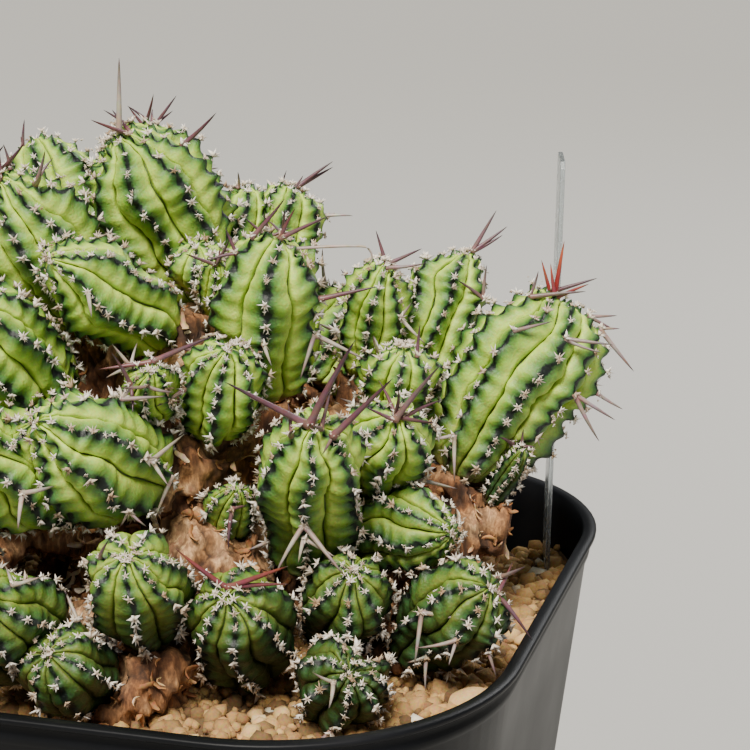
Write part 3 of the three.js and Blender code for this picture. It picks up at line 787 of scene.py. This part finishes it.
# The spines that stand out, by the head that they grow on: the side of the head (right, back, up),
# how far up the rib, how old from 0 (new, red) to 1 (old, grey), and each prong's way and length.
MARKED_SPINES = {
    "head_01": [((1, -0.3, 0.3), 0.72, 0.45, [((0.75, -0.2, 0.6), 9.5)])],
    "head_02": [((-0.6, -0.8, 0), 0.95, 0.6, [((-1, -0.2, 0.15), 5), ((0.1, -0.2, 0.9), 3.5)])],
    "head_03": [
        ((0.6, -0.6, 0), 0.93, 0.45, [((0.75, 0, 0.6), 8.5), ((0.88, 0.1, 0.5), 8)]),
        ((-0.4, -1, 0), 0.9, 0.5, [((0.6, -0.1, 0.7), 4)]),
        ((0.2, -1, 0), 0.5, 0.95, [((-0.75, -0.5, -0.55), 7.5), ((0.5, -0.5, -0.7), 3.5)]),
    ],
    "head_04": [
        ((0.9, -0.4, 0.3), 0.95, 0.4, [((0.35, -0.2, 0.9), 6.5), ((0.87, -0.2, 0.48), 9.5)]),
        ((-0.6, -1, 0), 0.86, 0.45, [((-1, -0.3, 0), 5), ((-0.35, -0.2, 0.9), 5)]),
        ((1, -0.4, 0), 0.66, 0.5, [((0.96, -0.2, 0.28), 10.5)]),
        ((1, -0.6, 0), 0.5, 0.75, [((-0.33, -0.5, -0.94), 8.5), ((0.9, -0.2, -0.4), 10)]),
    ],
    "head_06": [
        ((0.3, -0.5, 1), 0.9, 0.4, [((0.88, -0.2, 0.45), 11.5), ((-0.95, -0.2, -0.1), 9)]),
        ((-0.6, -0.6, 0.3), 0.8, 0.45, [((-0.3, -0.3, 0.9), 7), ((0.2, -0.5, -0.9), 5)]),
    ],
    "head_07": [
        ((0.5, -0.3, 1), 0.55, 0.7, [((0.99, -0.2, 0.13), 7.6), ((0.65, -0.2, 0.75), 3.6)]),
        ((0.6, -0.7, 0.6), 0.3, 0.95, [((-0.5, -0.5, -0.85), 7.5)]),
        ((0.3, -0.7, -0.6), 0.4, 0.7, [((0.6, -0.4, -0.7), 4), ((-0.3, -0.5, -0.9), 3)]),
    ],
    "head_09": [((0.9, -0.5, 0.2), 0.94, 0.5, [((0.66, -0.3, 0.75), 15.5), ((-0.3, -0.6, -0.4), 4)])],
    "head_10": [
        ((-0.1, -1, 0.5), 0.95, 0.5, [((0.54, -0.2, 0.84), 13.3), ((-0.86, -0.3, 0.5), 6.3)]),
        ((0.6, -0.6, 0.5), 0.92, 0.5, [((0.8, -0.2, 0.6), 7)]),
        ((1, -0.6, -0.2), 0.45, 0.75, [((0.98, -0.2, -0.2), 7.6), ((0, -0.3, -1), 3.6)]),
    ],
    "head_11": [
        ((-0.4, -0.5, 1), 0.8, 0.55, [((0.97, -0.2, 0.2), 10.2), ((0.45, -0.1, 0.9), 5)]),
        ((-0.5, -0.7, 0.7), 0.66, 0.6, [((0.95, -0.2, 0.3), 7.2)]),
        ((0.3, -0.2, 1), 0.93, 0.2, [((-0.2, 0, 1), 6.4), ((0.87, -0.1, 0.48), 6.8)]),
        ((1, -0.2, 0), 0.93, 0.6, [((1, -0.1, 0), 5.3), ((0.85, -0.2, -0.4), 5.4), ((0.35, -0.2, -0.9), 5)]),
        ((0.3, -1, -0.1), 0.74, 0.7, [((0.98, -0.3, -0.05), 8.6), ((0.85, -0.3, -0.4), 6.8)]),
        ((0.2, -1, -0.6), 0.6, 0.7, [((0.85, -0.3, -0.5), 8.6), ((0.4, -0.3, -0.9), 9.5)]),
        ((1, -0.3, -0.6), 0.84, 0.7, [((0.62, -0.2, -0.77), 10), ((1, -0.1, 0.1), 3.6)]),
        ((0.8, -0.3, -1), 0.66, 0.7, [((0.8, -0.1, -0.55), 5.5)]),
        ((-0.8, -1, -0.3), 0.28, 0.9, [((-1, -0.3, -0.2), 5.4), ((0, -0.3, -1), 8.4)]),
    ],
    "head_12": [
        (
            (0.5, -0.3, 0.5),
            0.94,
            0.5,
            [((0.5, 0.1, 0.85), 9), ((0.8, 0.1, 0.55), 8.2), ((0.9, 0.1, 0.4), 6.6)],
        ),
        ((1, -0.6, 0), 0.65, 0.6, [((0, -0.1, 1), 6.5), ((-0.7, -0.3, 0.7), 6.8)]),
    ],
    "head_13": [
        ((0.3, -1, 0), 0.93, 0.6, [((1, -0.1, 0), 7)]),
        ((0.9, -0.6, 0), 0.65, 0.95, [((0.6, -0.3, 0.75), 4), ((0.6, -0.4, -0.7), 6.8)]),
    ],
    "head_15": [((-0.6, -1, -0.6), 0.4, 0.75, [((-1, -0.3, 0.07), 7.5), ((-0.6, -0.4, -0.8), 7.2)])],
    "head_16": [
        ((-0.9, -0.8, 0.3), 0.6, 0.8, [((1, -0.5, 0.1), 9), ((-0.15, -0.4, -0.97), 9)]),
        ((-0.2, -1, 0.2), 0.7, 0.8, [((-0.97, -0.4, -0.2), 7), ((-0.35, -0.4, -0.9), 4.5)]),
        ((1, -0.2, 0), 0.92, 0.4, [((0.68, -0.2, -0.73), 9.8), ((0.5, 0.1, 0.85), 6)]),
        ((0.3, -1, -0.6), 0.6, 0.7, [((0.3, -0.4, -0.9), 4.8)]),
        ((-0.8, -1, -0.5), 0.4, 0.8, [((-0.95, -0.3, -0.3), 3.6), ((-0.15, -0.4, -0.97), 5.7)]),
    ],
    "head_18": [((-0.2, -1, -0.5), 0.5, 0.6, [((-0.75, -0.4, -0.6), 6), ((0.5, -0.4, -0.6), 3)])],
    "head_22": [((0, -1, 0), 0.8, 0.5, [((-0.25, -0.4, -0.95), 7), ((0.6, -0.5, 0.3), 3.5)])],
}

# The biggest ones are solids of their own in the frame. Each replaces its node.
BIG_SPINES = {
    "spines_top": ("head_01", (-0.3, -0.6, 1), 0.97, 0.8, [((0.03, 0, 1), 13.5)]),
    "spines_front_upper": (
        "head_09",
        (-0.2, -1, 0.4),
        0.96,
        0.45,
        [((-0.81, -0.35, 0.55), 17), ((0.37, -0.3, 0.9), 18), ((0.1, -0.8, 0.3), 3)],
    ),
    "spines_front_lower": (
        "head_09",
        (0, -1, 0),
        0.5,
        0.8,
        [((-0.6, -0.5, -0.75), 9.5), ((0.68, -0.5, -0.72), 11)],
    ),
    "spines_low_left": (
        "head_19",
        (-0.2, -0.4, 1),
        0.95,
        0.3,
        [((-0.72, -0.35, 0.65), 11.5), ((0.86, -0.35, 0.45), 13), ((0.88, -0.3, 0.25), 11)],
    ),
    "spines_right_new": (
        "head_11",
        (-0.1, -0.2, 1),
        0.95,
        0.08,
        [((-0.27, -0.1, 0.95), 9), ((0.1, -0.1, 1), 12.6)],
    ),
}


def shape_tree(piece):
    """A piece's faces, sorted for ray casts and for the nearest point."""
    return BVHTree.FromObject(piece, bpy.context.evaluated_depsgraph_get())


skin_trees = {name: shape_tree(skin) for name, skin in skins.items()}


def is_free(start, way, length):
    """True if a straight thing of this length, in millimetres, meets no head."""
    origin = (start + 0.8 * way) * MM
    for name, shape in skin_trees.items():
        near = skins[name].bound_box
        if all(abs(origin[k] - (near[0][k] + near[6][k]) / 2) < 40 * MM for k in range(3)):
            if shape.ray_cast(origin, way, length * MM)[0] is not None:
                return False
    return True


def eye_on(head, side, share):
    """The eye of a head that lies most to one side, at about this share of the way up."""
    side = clump_direction(*side)
    own = [e for e in eyes if e["head"] == head]
    middle = sum((e["place"] for e in own), Vector()) / len(own)
    axis = sum((e["up"] for e in own), Vector()).normalized()
    flat = (side - axis * side.dot(axis)).normalized()

    def miss(eye):
        off = eye["place"] - middle
        off = (off - axis * off.dot(axis)).normalized()
        return (1 - off.dot(flat)) + 3.0 * abs(eye["share"] - share)

    return min(own, key=miss)


def spine_root(draw, eye, way, length, age):
    """One spine at an eye, as a root for the scatter."""
    return {
        "place": (eye["place"] - 0.25 * eye["out"]) * MM,
        "aim": way,
        "width": 0.26 + 0.026 * length,
        "reach": length,
        "twist": draw.uniform(0, 2 * math.pi),
        "shape": draw.choice((0, 1, 1, 2)),
        "tone": min(1.0, max(0.0, age + draw.uniform(-0.06, 0.06))),
    }


def cluster_roots(draw, head, side, share, age, prongs):
    """The spines that grow together at one eye."""
    eye = eye_on(head, side, share)
    eye["taken"] = True
    return [spine_root(draw, eye, clump_direction(*way), length, age) for way, length in prongs]


marked_draw = random.Random(31)
for node_name, (head, side, share, age, prongs) in BIG_SPINES.items():
    roots = cluster_roots(marked_draw, head, side, share, age, prongs)
    cluster = scatter(node_name + "_fine", spine_tree, roots, HORN)
    finish_piece(cluster, "spine_horn", node_name)

spine_roots = []
for head, clusters in MARKED_SPINES.items():
    for side, share, age, prongs in clusters:
        spine_roots += cluster_roots(marked_draw, head, side, share, age, prongs)

MARKED_HEADS = set(head_names[:25])  # at the front, where most spines are marked above
wild_draw = random.Random(5)
for eye in eyes:
    if eye.get("taken"):
        continue
    young = eye["share"] > 0.86
    chance = 0.15 if young else 0.07
    if eye["head"] in MARKED_HEADS:
        chance *= 0.3
    if wild_draw.random() > chance or eye["share"] < 0.15:
        continue
    count = wild_draw.choice((1, 2, 2, 2, 3))
    reach = wild_draw.uniform(5, 11) * min(1, eye["scale"]) * (1.15 if young else 1.0)
    ages = (0.42, 0.5, 0.5, 0.55) if young else (0.5, 0.6, 0.75, 0.9, 0.95)
    age = wild_draw.choice(ages)
    for k in range(count):
        lean = (k - (count - 1) / 2) * 1.5 + wild_draw.uniform(-0.25, 0.25)
        rise = wild_draw.uniform(0.1, 1.0) if young else wild_draw.uniform(-0.6, 0.3)
        way = (eye["out"] + lean * eye["side"] + rise * eye["up"]).normalized()
        length = reach * wild_draw.uniform(0.55, 1.1)
        if is_free(eye["place"], way, length) and (eye["place"] + way * length).z > SOIL_HEIGHT + 1:
            spine_roots.append(spine_root(wild_draw, eye, way, length, age))
spines = scatter("small_spines", spine_tree, spine_roots, HORN)
finish_piece(spines, "spine_horn")

star_roots = []
for eye in eyes:
    if eye["share"] < 0.12:
        continue
    young = eye["share"] > 0.8
    for extra in range(wild_draw.choice((2, 3, 4))):
        off = 0.7 * wild_draw.uniform(-1, 1) * eye["side"] + 1.3 * wild_draw.uniform(-1, 1) * eye["up"]
        size = STAR_RADIUS * wild_draw.uniform(0.65, 1.15)
        size *= 0.85 if young else 1.0
        size *= 0.45 if extra else 1.0
        lean = 0.5 * wild_draw.uniform(-1, 1) * eye["side"] + 0.4 * wild_draw.uniform(-1, 1) * eye["up"]
        root = {
            "place": (eye["place"] + 0.12 * eye["out"] + off * (1 if extra else 0)) * MM,
            "aim": (eye["out"] + lean).normalized(),
            "width": size * (0.4 + 0.6 * min(1, eye["scale"])),
            "reach": size * wild_draw.uniform(0.8, 1.5),
            "twist": wild_draw.uniform(0, 2 * math.pi),
            "shape": wild_draw.choice((0, 0, 1)) if extra else wild_draw.choice((1, 2, 3, 4)),
            "tone": wild_draw.random() ** 2,
        }
        star_roots.append(root)
for part in range(STAR_PIECES):
    stars = scatter(f"dried_stars_{part + 1}", star_tree, star_roots[part::STAR_PIECES], STAR)
    finish_piece(stars, "spine_horn")

# ---- Trunk ----


def bark_height(point):
    """How far the bark stands out at a point, and how deep in a crack it is. Millimetres."""
    lump = noise.noise(point / 9)
    swell = noise.noise(point / 4.2)
    long_way = Vector((point.x, point.y, 0.45 * point.z))
    near, far = noise.voronoi(long_way / 4.4)[0][:2]
    gap = far - near
    crack = max(0.0, 1 - gap / 0.16)
    fibre = noise.noise(Vector((point.x, point.y, 0.3 * point.z)) / 1.3)
    twisted = Vector((point.x + 0.5 * point.z, point.y, 0.6 * point.z))
    fold = 1 - abs(2 * noise.noise(twisted / 4.0))
    wrinkle = 1 - abs(2 * noise.noise(long_way / 1.9))
    depth = 1.9 * lump + 1.1 * swell + 0.4 * fibre + 0.7 * min(gap, 0.5) + 1.3 * fold + 0.6 * wrinkle
    return depth - 0.7 * crack - 1.3, crack


def make_trunk():
    """The wood: the frame's plain limbs melted together, then wrinkled and cracked."""
    mesh = merged_mesh("trunk")
    copy = bpy.data.meshes.new("trunk_copy")
    mesh.to_mesh(copy)
    mesh.free()
    piece = show(bpy.data.objects.new("trunk_copy", copy))
    melt = piece.modifiers.new("melt", "REMESH")
    melt.mode = "VOXEL"
    melt.voxel_size = VOXEL * MM
    soften = piece.modifiers.new("soften", "SMOOTH")
    soften.factor = 0.6
    soften.iterations = 5
    piece = baked_copy(piece, "bark")
    places = np.empty(len(piece.data.vertices) * 3)
    piece.data.vertices.foreach_get("co", places)
    places = places.reshape(-1, 3)
    normals = np.array([v.normal for v in piece.data.vertices])
    found = [bark_height(Vector(p) / MM) for p in places]
    heights = np.array([f[0] for f in found])
    buried = places[:, 2] < (SOIL_HEIGHT - 2) * MM
    heights[buried] = -0.4
    piece.data.vertices.foreach_set("co", (places + normals * heights[:, None] * MM).ravel())
    # The crack depth also sets the painted shade in the cracks.
    set_attribute(piece, "crack", [0.85 * f[1] for f in found])
    piece.data.polygons.foreach_set("use_smooth", [True] * len(piece.data.polygons))
    paint(piece, BARK)
    piece.data.update()
    return piece


bark = make_trunk()
finish_piece(bark, "bark", "trunk")

# ---- Soil ----


def mesh_lists(mesh):
    """A bmesh as a list of places and a list of faces. The bmesh is freed."""
    places = [v.co.copy() for v in mesh.verts]
    faces = [tuple(v.index for v in f.verts) for f in mesh.faces]
    mesh.free()
    return places, faces


def grain_shape(name, seed):
    """A rounded, lumpy grain of radius 1."""
    draw = random.Random(seed)
    mesh = bmesh.new()
    bmesh.ops.create_icosphere(mesh, subdivisions=1, radius=1.0)
    shift = Vector((draw.uniform(0, 50), draw.uniform(0, 50), draw.uniform(0, 50)))
    stretch = Vector((draw.uniform(0.8, 1.2), draw.uniform(0.75, 1.1), draw.uniform(0.65, 0.95)))
    for vertex in mesh.verts:
        vertex.co *= 1 + 0.55 * noise.noise(vertex.co * 1.7 + shift)
        vertex.co = Vector(a * b for a, b in zip(vertex.co, stretch))
    return new_object(name, *mesh_lists(mesh))


def wall_clearance(point):
    """How far a point, in millimetres, is from the inside of the pot."""
    half = wall_width(point.z) / 2 - WALL
    radius = corner_radius(point.z) - WALL
    x, y = abs(point.x) - half + radius, abs(point.y) - half + radius
    if x > 0 and y > 0:
        return radius - math.hypot(x, y)
    return radius - max(x, y)


def soil_roots():
    """Places for the grains: a jittered grid over the soil's top, down into its hollow."""
    draw = random.Random(11)
    ground_tree = shape_tree(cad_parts["soil"])
    bark_tree = shape_tree(bark)
    half = POT_WIDTH / 2
    roots = []
    count = int(POT_WIDTH / GRAIN_STEP)
    for i in range(count):
        for j in range(count):
            x = -half + GRAIN_STEP * (i + draw.uniform(0.05, 0.95))
            y = -half + GRAIN_STEP * (j + draw.uniform(0.05, 0.95))
            start = Vector((x, y, SOIL_HEIGHT + 5)) * MM
            hit = ground_tree.ray_cast(start, Vector((0, 0, -1)), 22 * MM)
            if hit[0] is None:
                continue
            wood = bark_tree.find_nearest(hit[0])
            apart = hit[0] - wood[0]
            if apart.length < 6 * MM and wood[1].dot(apart) < -0.8 * MM:
                continue
            size = GRAIN_RADIUS * draw.choice((0.6, 0.8, 0.95, 1.1, 1.4, 1.9)) * draw.uniform(0.9, 1.1)
            if wall_clearance(hit[0] / MM) < 1.5 * size:
                continue
            roots.append(
                {
                    "place": hit[0] + Vector((0, 0, draw.uniform(-0.3, 0.7) * MM)),
                    "aim": Vector([draw.gauss(0, 1) for _ in "xyz"]).normalized(),
                    "width": size,
                    "reach": size * draw.uniform(0.8, 1.1),
                    "twist": draw.uniform(0, 2 * math.pi),
                    "shape": draw.randrange(4),
                    "tone": min(1.0, abs(draw.gauss(0.45, 0.24))),
                }
            )
    return roots


grain_shapes = [grain_shape(f"grain_{k}", 40 + k) for k in range(4)]
grain_tree = scatter_tree("strew_grains", grain_shapes)
all_grains = soil_roots()
for start in range(0, len(all_grains), GRAINS_PER_PIECE):
    lot = all_grains[start : start + GRAINS_PER_PIECE]
    grains = scatter(f"soil_grains_{start // GRAINS_PER_PIECE + 1}", grain_tree, lot, CLAY)
    finish_piece(grains, "soil_grains")
paint(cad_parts["soil"], CLAY)

def make_tube(name, path, radii, sides):
    """A closed, slightly knotty tube along a path, in millimetres."""
    path = [Vector(p) for p in path]
    vertices = [path[0]]
    for k, (point, radius) in enumerate(zip(path, radii)):
        way = (path[min(k + 1, len(path) - 1)] - path[max(k - 1, 0)]).normalized()
        side = way.orthogonal().normalized()
        other = way.cross(side)
        for j in range(sides):
            angle = 2 * math.pi * j / sides
            swell = radius * (1 + 0.25 * noise.noise(3 * point + Vector((j, 0, k))))
            vertices.append(point + swell * (math.cos(angle) * side + math.sin(angle) * other))
    vertices.append(path[-1])
    piece = new_object(name, [v * MM for v in vertices], skin_faces(len(path), sides))
    point_outwards(piece)
    return piece


def make_twig():
    """A dead root that lies across the soil beside the label."""
    start = 59 * RIGHTWARD + 4 * BACKWARD + Vector((0, 0, SOIL_HEIGHT + 1.6))
    end = 68 * RIGHTWARD + 5 * BACKWARD + Vector((0, 0, SOIL_HEIGHT + 1.4))
    path = []
    for k in range(12):
        t = k / 11
        bend = Vector((0, 0, 0.5 * math.sin(5 * t))) + 0.4 * math.sin(7 * t) * BACKWARD
        path.append(start.lerp(end, t) + bend)
    twig = make_tube("dead_root", path, [0.75 - 0.35 * k / 11 for k in range(12)], 9)
    paint(twig, BARK)
    return twig


finish_piece(make_twig(), "bark")


def make_hook():
    """A long old spine that has dried into a hook, off the side of the bright middle head."""
    start = eye_on("head_04", (1, -0.3, 0), 0.93)["place"]
    path = []
    for k in range(16):
        t = k / 15
        angle = max(0.0, t - 0.62) / 0.38 * 2.4
        flat = 12.5 * min(t, 0.62) / 0.62
        bend = 1.7 * Vector((math.sin(angle), 0, math.cos(angle) - 1))
        rise = Vector((0, 0, bend.z + 0.5 * math.sin(3 * t)))
        path.append(start + (flat + bend.x) * RIGHTWARD + rise)
    hook = make_tube("hooked_spine", path, [0.34 - 0.2 * k / 15 for k in range(16)], 8)
    set_attribute(hook, "out", [0.2] * len(hook.data.vertices))
    set_attribute(hook, "tone", [0.95] * len(hook.data.vertices))
    paint(hook, HORN)
    return hook


finish_piece(make_hook(), "spine_horn")


def make_pebbles():
    """A few pale pebbles that lie on the grains."""
    draw = random.Random(3)
    spots = [(55, -45, 4.2, 2.6), (50, -55, 2.2, 1.7), (66, -18, 2.0, 1.5)]
    spots += [(-30, -62, 2.6, 1.9), (62, 12, 1.8, 1.4)]
    mesh = bmesh.new()
    for right, back, long, short in spots:
        middle = right * RIGHTWARD + back * BACKWARD + Vector((0, 0, SOIL_HEIGHT + 1.2))
        made = bmesh.ops.create_icosphere(mesh, subdivisions=3, radius=1.0)["verts"]
        turn = Matrix.Rotation(draw.uniform(0, math.pi), 3, "Z")
        for vertex in made:
            lumpy = vertex.co * (1 + 0.25 * noise.noise(vertex.co * 0.9 + Vector((right, back, 0))))
            shaped = turn @ Vector((lumpy.x * long, lumpy.y * short, lumpy.z * 0.8 * short))
            vertex.co = (middle + shaped) * MM
    pebbles = new_object("pale_pebbles", *mesh_lists(mesh))
    set_attribute(pebbles, "tone", [0.82] * len(pebbles.data.vertices))
    paint(pebbles, CLAY)
    return pebbles


finish_piece(make_pebbles(), "soil_grains")


def flake_shape(name, seed):
    """A curled scrap of papery bark, about 1 long, with a ragged edge and some thickness."""
    draw = random.Random(seed)
    steps = 5
    vertices, faces = [], []
    edges = [(0.2 * draw.uniform(0.3, 1.1), 0.2 * draw.uniform(0.3, 1.1)) for _ in range(steps + 1)]
    curl = draw.uniform(0.8, 2.0)
    for side in (0.0, 0.05):
        for k in range(steps + 1):
            along = k / steps - 0.5
            left, right = edges[k]
            rise = curl * along * along + 0.12 * draw.uniform(-0.3, 0.3)
            if k in (0, steps):
                left, right = 0.35 * left, 0.35 * right
            for across in (-left, 0.0, right):
                vertices.append((across, along, rise + 0.8 * across * across + side))
    row = 3 * (steps + 1)
    for k in range(steps):
        for c in range(2):
            a = 3 * k + c
            faces.append((a, a + 3, a + 4, a + 1))
            faces.append((row + a, row + a + 1, row + a + 4, row + a + 3))
    for k in range(steps):
        for c, flip in ((0, False), (2, True)):
            a = 3 * k + c
            quad = (a, row + a, row + a + 3, a + 3)
            faces.append(quad[::-1] if flip else quad)
    for k, flip in ((0, True), (steps, False)):
        for c in range(2):
            a = 3 * k + c
            quad = (a, row + a, row + a + 1, a + 1)
            faces.append(quad if flip else quad[::-1])
    piece = new_object(name, vertices, faces)
    point_outwards(piece)
    return piece


def flake_roots():
    """Places on the bark for loose scraps, mostly where it faces the open."""
    draw = random.Random(23)
    polygons = sorted(bark.data.polygons, key=lambda p: tuple(round(c, 5) for c in p.center))
    roots = []
    while len(roots) < FLAKE_COUNT:
        polygon = polygons[draw.randrange(len(polygons))]
        place = polygon.center / MM
        if place.z < SOIL_HEIGHT + 0.5 or not is_free(place, polygon.normal, 5):
            continue
        lean = Vector([draw.gauss(0, 0.25) for _ in "xyz"])
        size = draw.uniform(1.5, 4.2)
        roots.append(
            {
                "place": polygon.center + 0.1 * MM * polygon.normal,
                "aim": (polygon.normal + lean).normalized(),
                "width": size,
                "reach": size * draw.uniform(0.5, 1.2),
                "twist": draw.uniform(0, 2 * math.pi),
                "shape": draw.randrange(3),
                "tone": draw.random() ** 1.6,
            }
        )
    return roots


flake_shapes = [flake_shape(f"flake_{k}", 60 + k) for k in range(3)]
flakes = scatter("bark_flakes", scatter_tree("lay_flakes", flake_shapes), flake_roots(), PAPER)
finish_piece(flakes, "bark")

for shape in star_shapes + spine_shapes + grain_shapes + flake_shapes:
    remove_object(shape)

# ---- Pot ----


def square_ring(width, corner, height):
    """A level ring with rounded corners, counter-clockwise from above, in millimetres."""
    points = []
    offset = width / 2 - corner
    for quarter in range(4):
        middle = (quarter + 0.5) * math.pi / 2
        cx, cy = math.sqrt(2) * offset * math.cos(middle), math.sqrt(2) * offset * math.sin(middle)
        for step in range(CORNER_STEPS + 1):
            angle = (quarter + step / CORNER_STEPS) * math.pi / 2
            points.append((cx + corner * math.cos(angle), cy + corner * math.sin(angle), height))
    return points


def make_pot():
    """A thin moulded shell: flat underside, tapering wall, two lips and a smooth inside."""
    top = RIM_HEIGHT
    lip = top - LIP_THICKNESS
    bead = top - BEAD_DROP
    outside = [(0, -1.6), (0.5, -0.5), (1.6, 0.0), (8, 0.0), (40, 0.0), (80, 0.0), (110, 0.0)]
    outside += [(bead - 0.9, 0.0), (bead - 0.4, 0.4), (bead + 0.3, 0.5)]
    outside += [(bead + 1.0, 0.45), (bead + 1.5, 0.0)]
    outside += [(lip - 0.2, 0.0), (lip - 0.02, 0.15), (lip, REACH - 0.35), (lip + 0.35, REACH)]
    outside += [(top - 0.35, REACH), (top, REACH - 0.35)]
    rings = [square_ring(wall_width(z) + 2 * reach, corner_radius(z) + reach, z) for z, reach in outside]
    inside = [(top, 0.3), (top - 0.3, 0.0), (top - 4, 0.0), (70, 0.0), (FLOOR + 2, 0.0), (FLOOR + 0.4, -1.2)]
    inside += [(FLOOR, -2.6)]
    for z, reach in inside:
        inset = WALL - reach
        rings.append(square_ring(wall_width(z) - 2 * inset, corner_radius(z) - inset, z))
    vertices = [(0, 0, 0)] + [p for ring in rings for p in ring] + [(0, 0, FLOOR)]
    faces = skin_faces(len(rings), len(rings[0]))
    piece = new_object("moulded_pot", np.array(vertices) * MM, faces)
    point_outwards(piece)
    cutters = []
    for k in range(DRAIN_HOLES):
        angle = (k + 0.5) * 2 * math.pi / DRAIN_HOLES
        far = DRAIN_CIRCLE * MM
        middle = (far * math.cos(angle), far * math.sin(angle), 1 * MM)
        size = {"vertices": 32, "radius": DRAIN_RADIUS * MM, "depth": 12 * MM}
        bpy.ops.mesh.primitive_cylinder_add(location=middle, **size)
        cutter = bpy.context.object
        cutters.append(cutter)
        hole = piece.modifiers.new(f"hole_{k}", "BOOLEAN")
        hole.object = cutter
        hole.solver = "EXACT"
    piece = baked_copy(piece, "pot_shell")
    for cutter in cutters:
        remove_object(cutter)
    paint(piece, PLASTIC)
    return piece


finish_piece(make_pot(), "pot_plastic", "pot")

# ---- Label ----


def make_label():
    """A clear strip with rounded top corners and a pointed foot, standing where the frame's strip is."""
    mesh = merged_mesh("plant_label")
    corners = sorted((v.co.copy() for v in mesh.verts), key=lambda c: c.z)
    mesh.free()
    low = sum(corners[:4], Vector()) / 4
    high = sum(corners[4:], Vector()) / 4
    up = (high - low).normalized()
    options = [corners[0] - corners[k] for k in (1, 2, 3)]
    options.sort(key=lambda c: c.length)
    thin_way, wide_way = options[0].normalized(), options[1].normalized()
    half_thick, half_wide = options[0].length / 2, options[1].length / 2
    length = (high - low).length
    outline = [(0, 0.0), (0.35, 4 * MM), (1, 16 * MM), (1, length - 3 * MM)]
    outline += [(0.96, length - 1.2 * MM), (0.8, length)]
    rows = [(share * half_wide, up_by) for share, up_by in outline]
    ring = rows + [(-w, z) for w, z in reversed(rows[1:])]
    vertices = []
    for side in (-1, 1):
        vertices += [low + up * z + wide_way * w + thin_way * half_thick * side for w, z in ring]
    count = len(ring)
    faces = [tuple(range(count)), tuple(range(2 * count - 1, count - 1, -1))]
    for k in range(count):
        after = (k + 1) % count
        faces.append((k, k + count, after + count, after))
    piece = new_object("label_strip", vertices, faces, smooth=False)
    mesh = bmesh.new()
    mesh.from_mesh(piece.data)
    bmesh.ops.recalc_face_normals(mesh, faces=mesh.faces)
    mesh.to_mesh(piece.data)
    mesh.free()
    bevel = piece.modifiers.new("worn_edge", "BEVEL")
    bevel.width = 0.15 * MM
    bevel.segments = 2
    piece = baked_copy(piece, "clear_label")
    paint(piece, CLEAR)
    return piece


finish_piece(make_label(), "label_plastic", "plant_label")

# ---- Floor, light and camera ----


def make_stage():
    """A plain, flat, pale floor."""
    material, tree, surface = new_material("pale_floor")
    plug(tree, surface, {"Base Color": linear("#a3a29f"), "Roughness": 0.7})
    corners = [(-4, -4, 0), (4, -4, 0), (4, 4, 0), (-4, 4, 0)]  # metres
    floor = new_object("floor", corners, [(0, 1, 2, 3)])
    paint(floor, material)


def soft_lamp(name, place, aim, size, power, colour):
    """A wide panel light that points at a spot."""
    lamp = bpy.data.lights.new(name, "AREA")
    lamp.shape = "RECTANGLE"
    lamp.size = size
    lamp.size_y = 0.7 * size
    lamp.energy = power
    lamp.color = linear(colour)[:3]
    holder = bpy.data.objects.new(name, lamp)
    holder.location = place
    holder.rotation_euler = (Vector(aim) - Vector(place)).to_track_quat("-Z", "Y").to_euler()
    show(holder)


make_stage()
clump_middle = (0, 0, (RIM_HEIGHT + 30) * MM)
sky = bpy.data.lights.new("high_softbox", "SUN")
sky.energy = 7.3
sky.angle = math.radians(24)
sky.color = linear("#fffaf0")[:3]
softbox = bpy.data.objects.new("high_softbox", sky)
softbox.rotation_euler = Vector((0.02, 0.6, -0.95)).to_track_quat("-Z", "Y").to_euler()
show(softbox)
soft_lamp("fill", (0.9, -0.7, 0.45), clump_middle, 0.7, 2, "#eef4ff")
soft_lamp("back", (0.35, 0.85, 0.8), clump_middle, 0.5, 6, "#ffffff")
world = bpy.data.worlds.new("studio")
world.use_nodes = True
backdrop = {"Color": linear("#dfe3e6"), "Strength": 0.2}
plug(world.node_tree, world.node_tree.nodes["Background"], backdrop)
bpy.context.scene.world = world

VIEW_AZIMUTH = math.radians(15.6)
VIEW_ELEVATION = math.radians(15.5)
VIEW_DISTANCE = 425.0  # millimetres, from the point that the camera looks at
SENSOR = 36.0  # its width, in millimetres like the lens
LENS = 110.4
looked_at = Vector((36.7, 14.1, RIM_HEIGHT + 34.9)) * MM
backwards = Vector(
    (
        math.sin(VIEW_AZIMUTH) * math.cos(VIEW_ELEVATION),
        -math.cos(VIEW_AZIMUTH) * math.cos(VIEW_ELEVATION),
        math.sin(VIEW_ELEVATION),
    )
)
camera_data = bpy.data.cameras.new("camera")
camera_data.sensor_width = SENSOR
camera_data.lens = LENS
camera_data.clip_start = 0.01
camera = bpy.data.objects.new("camera", camera_data)
camera.location = looked_at + VIEW_DISTANCE * MM * backwards
camera.rotation_euler = (-backwards).to_track_quat("-Z", "Y").to_euler()
show(camera)
bpy.context.scene.camera = camera
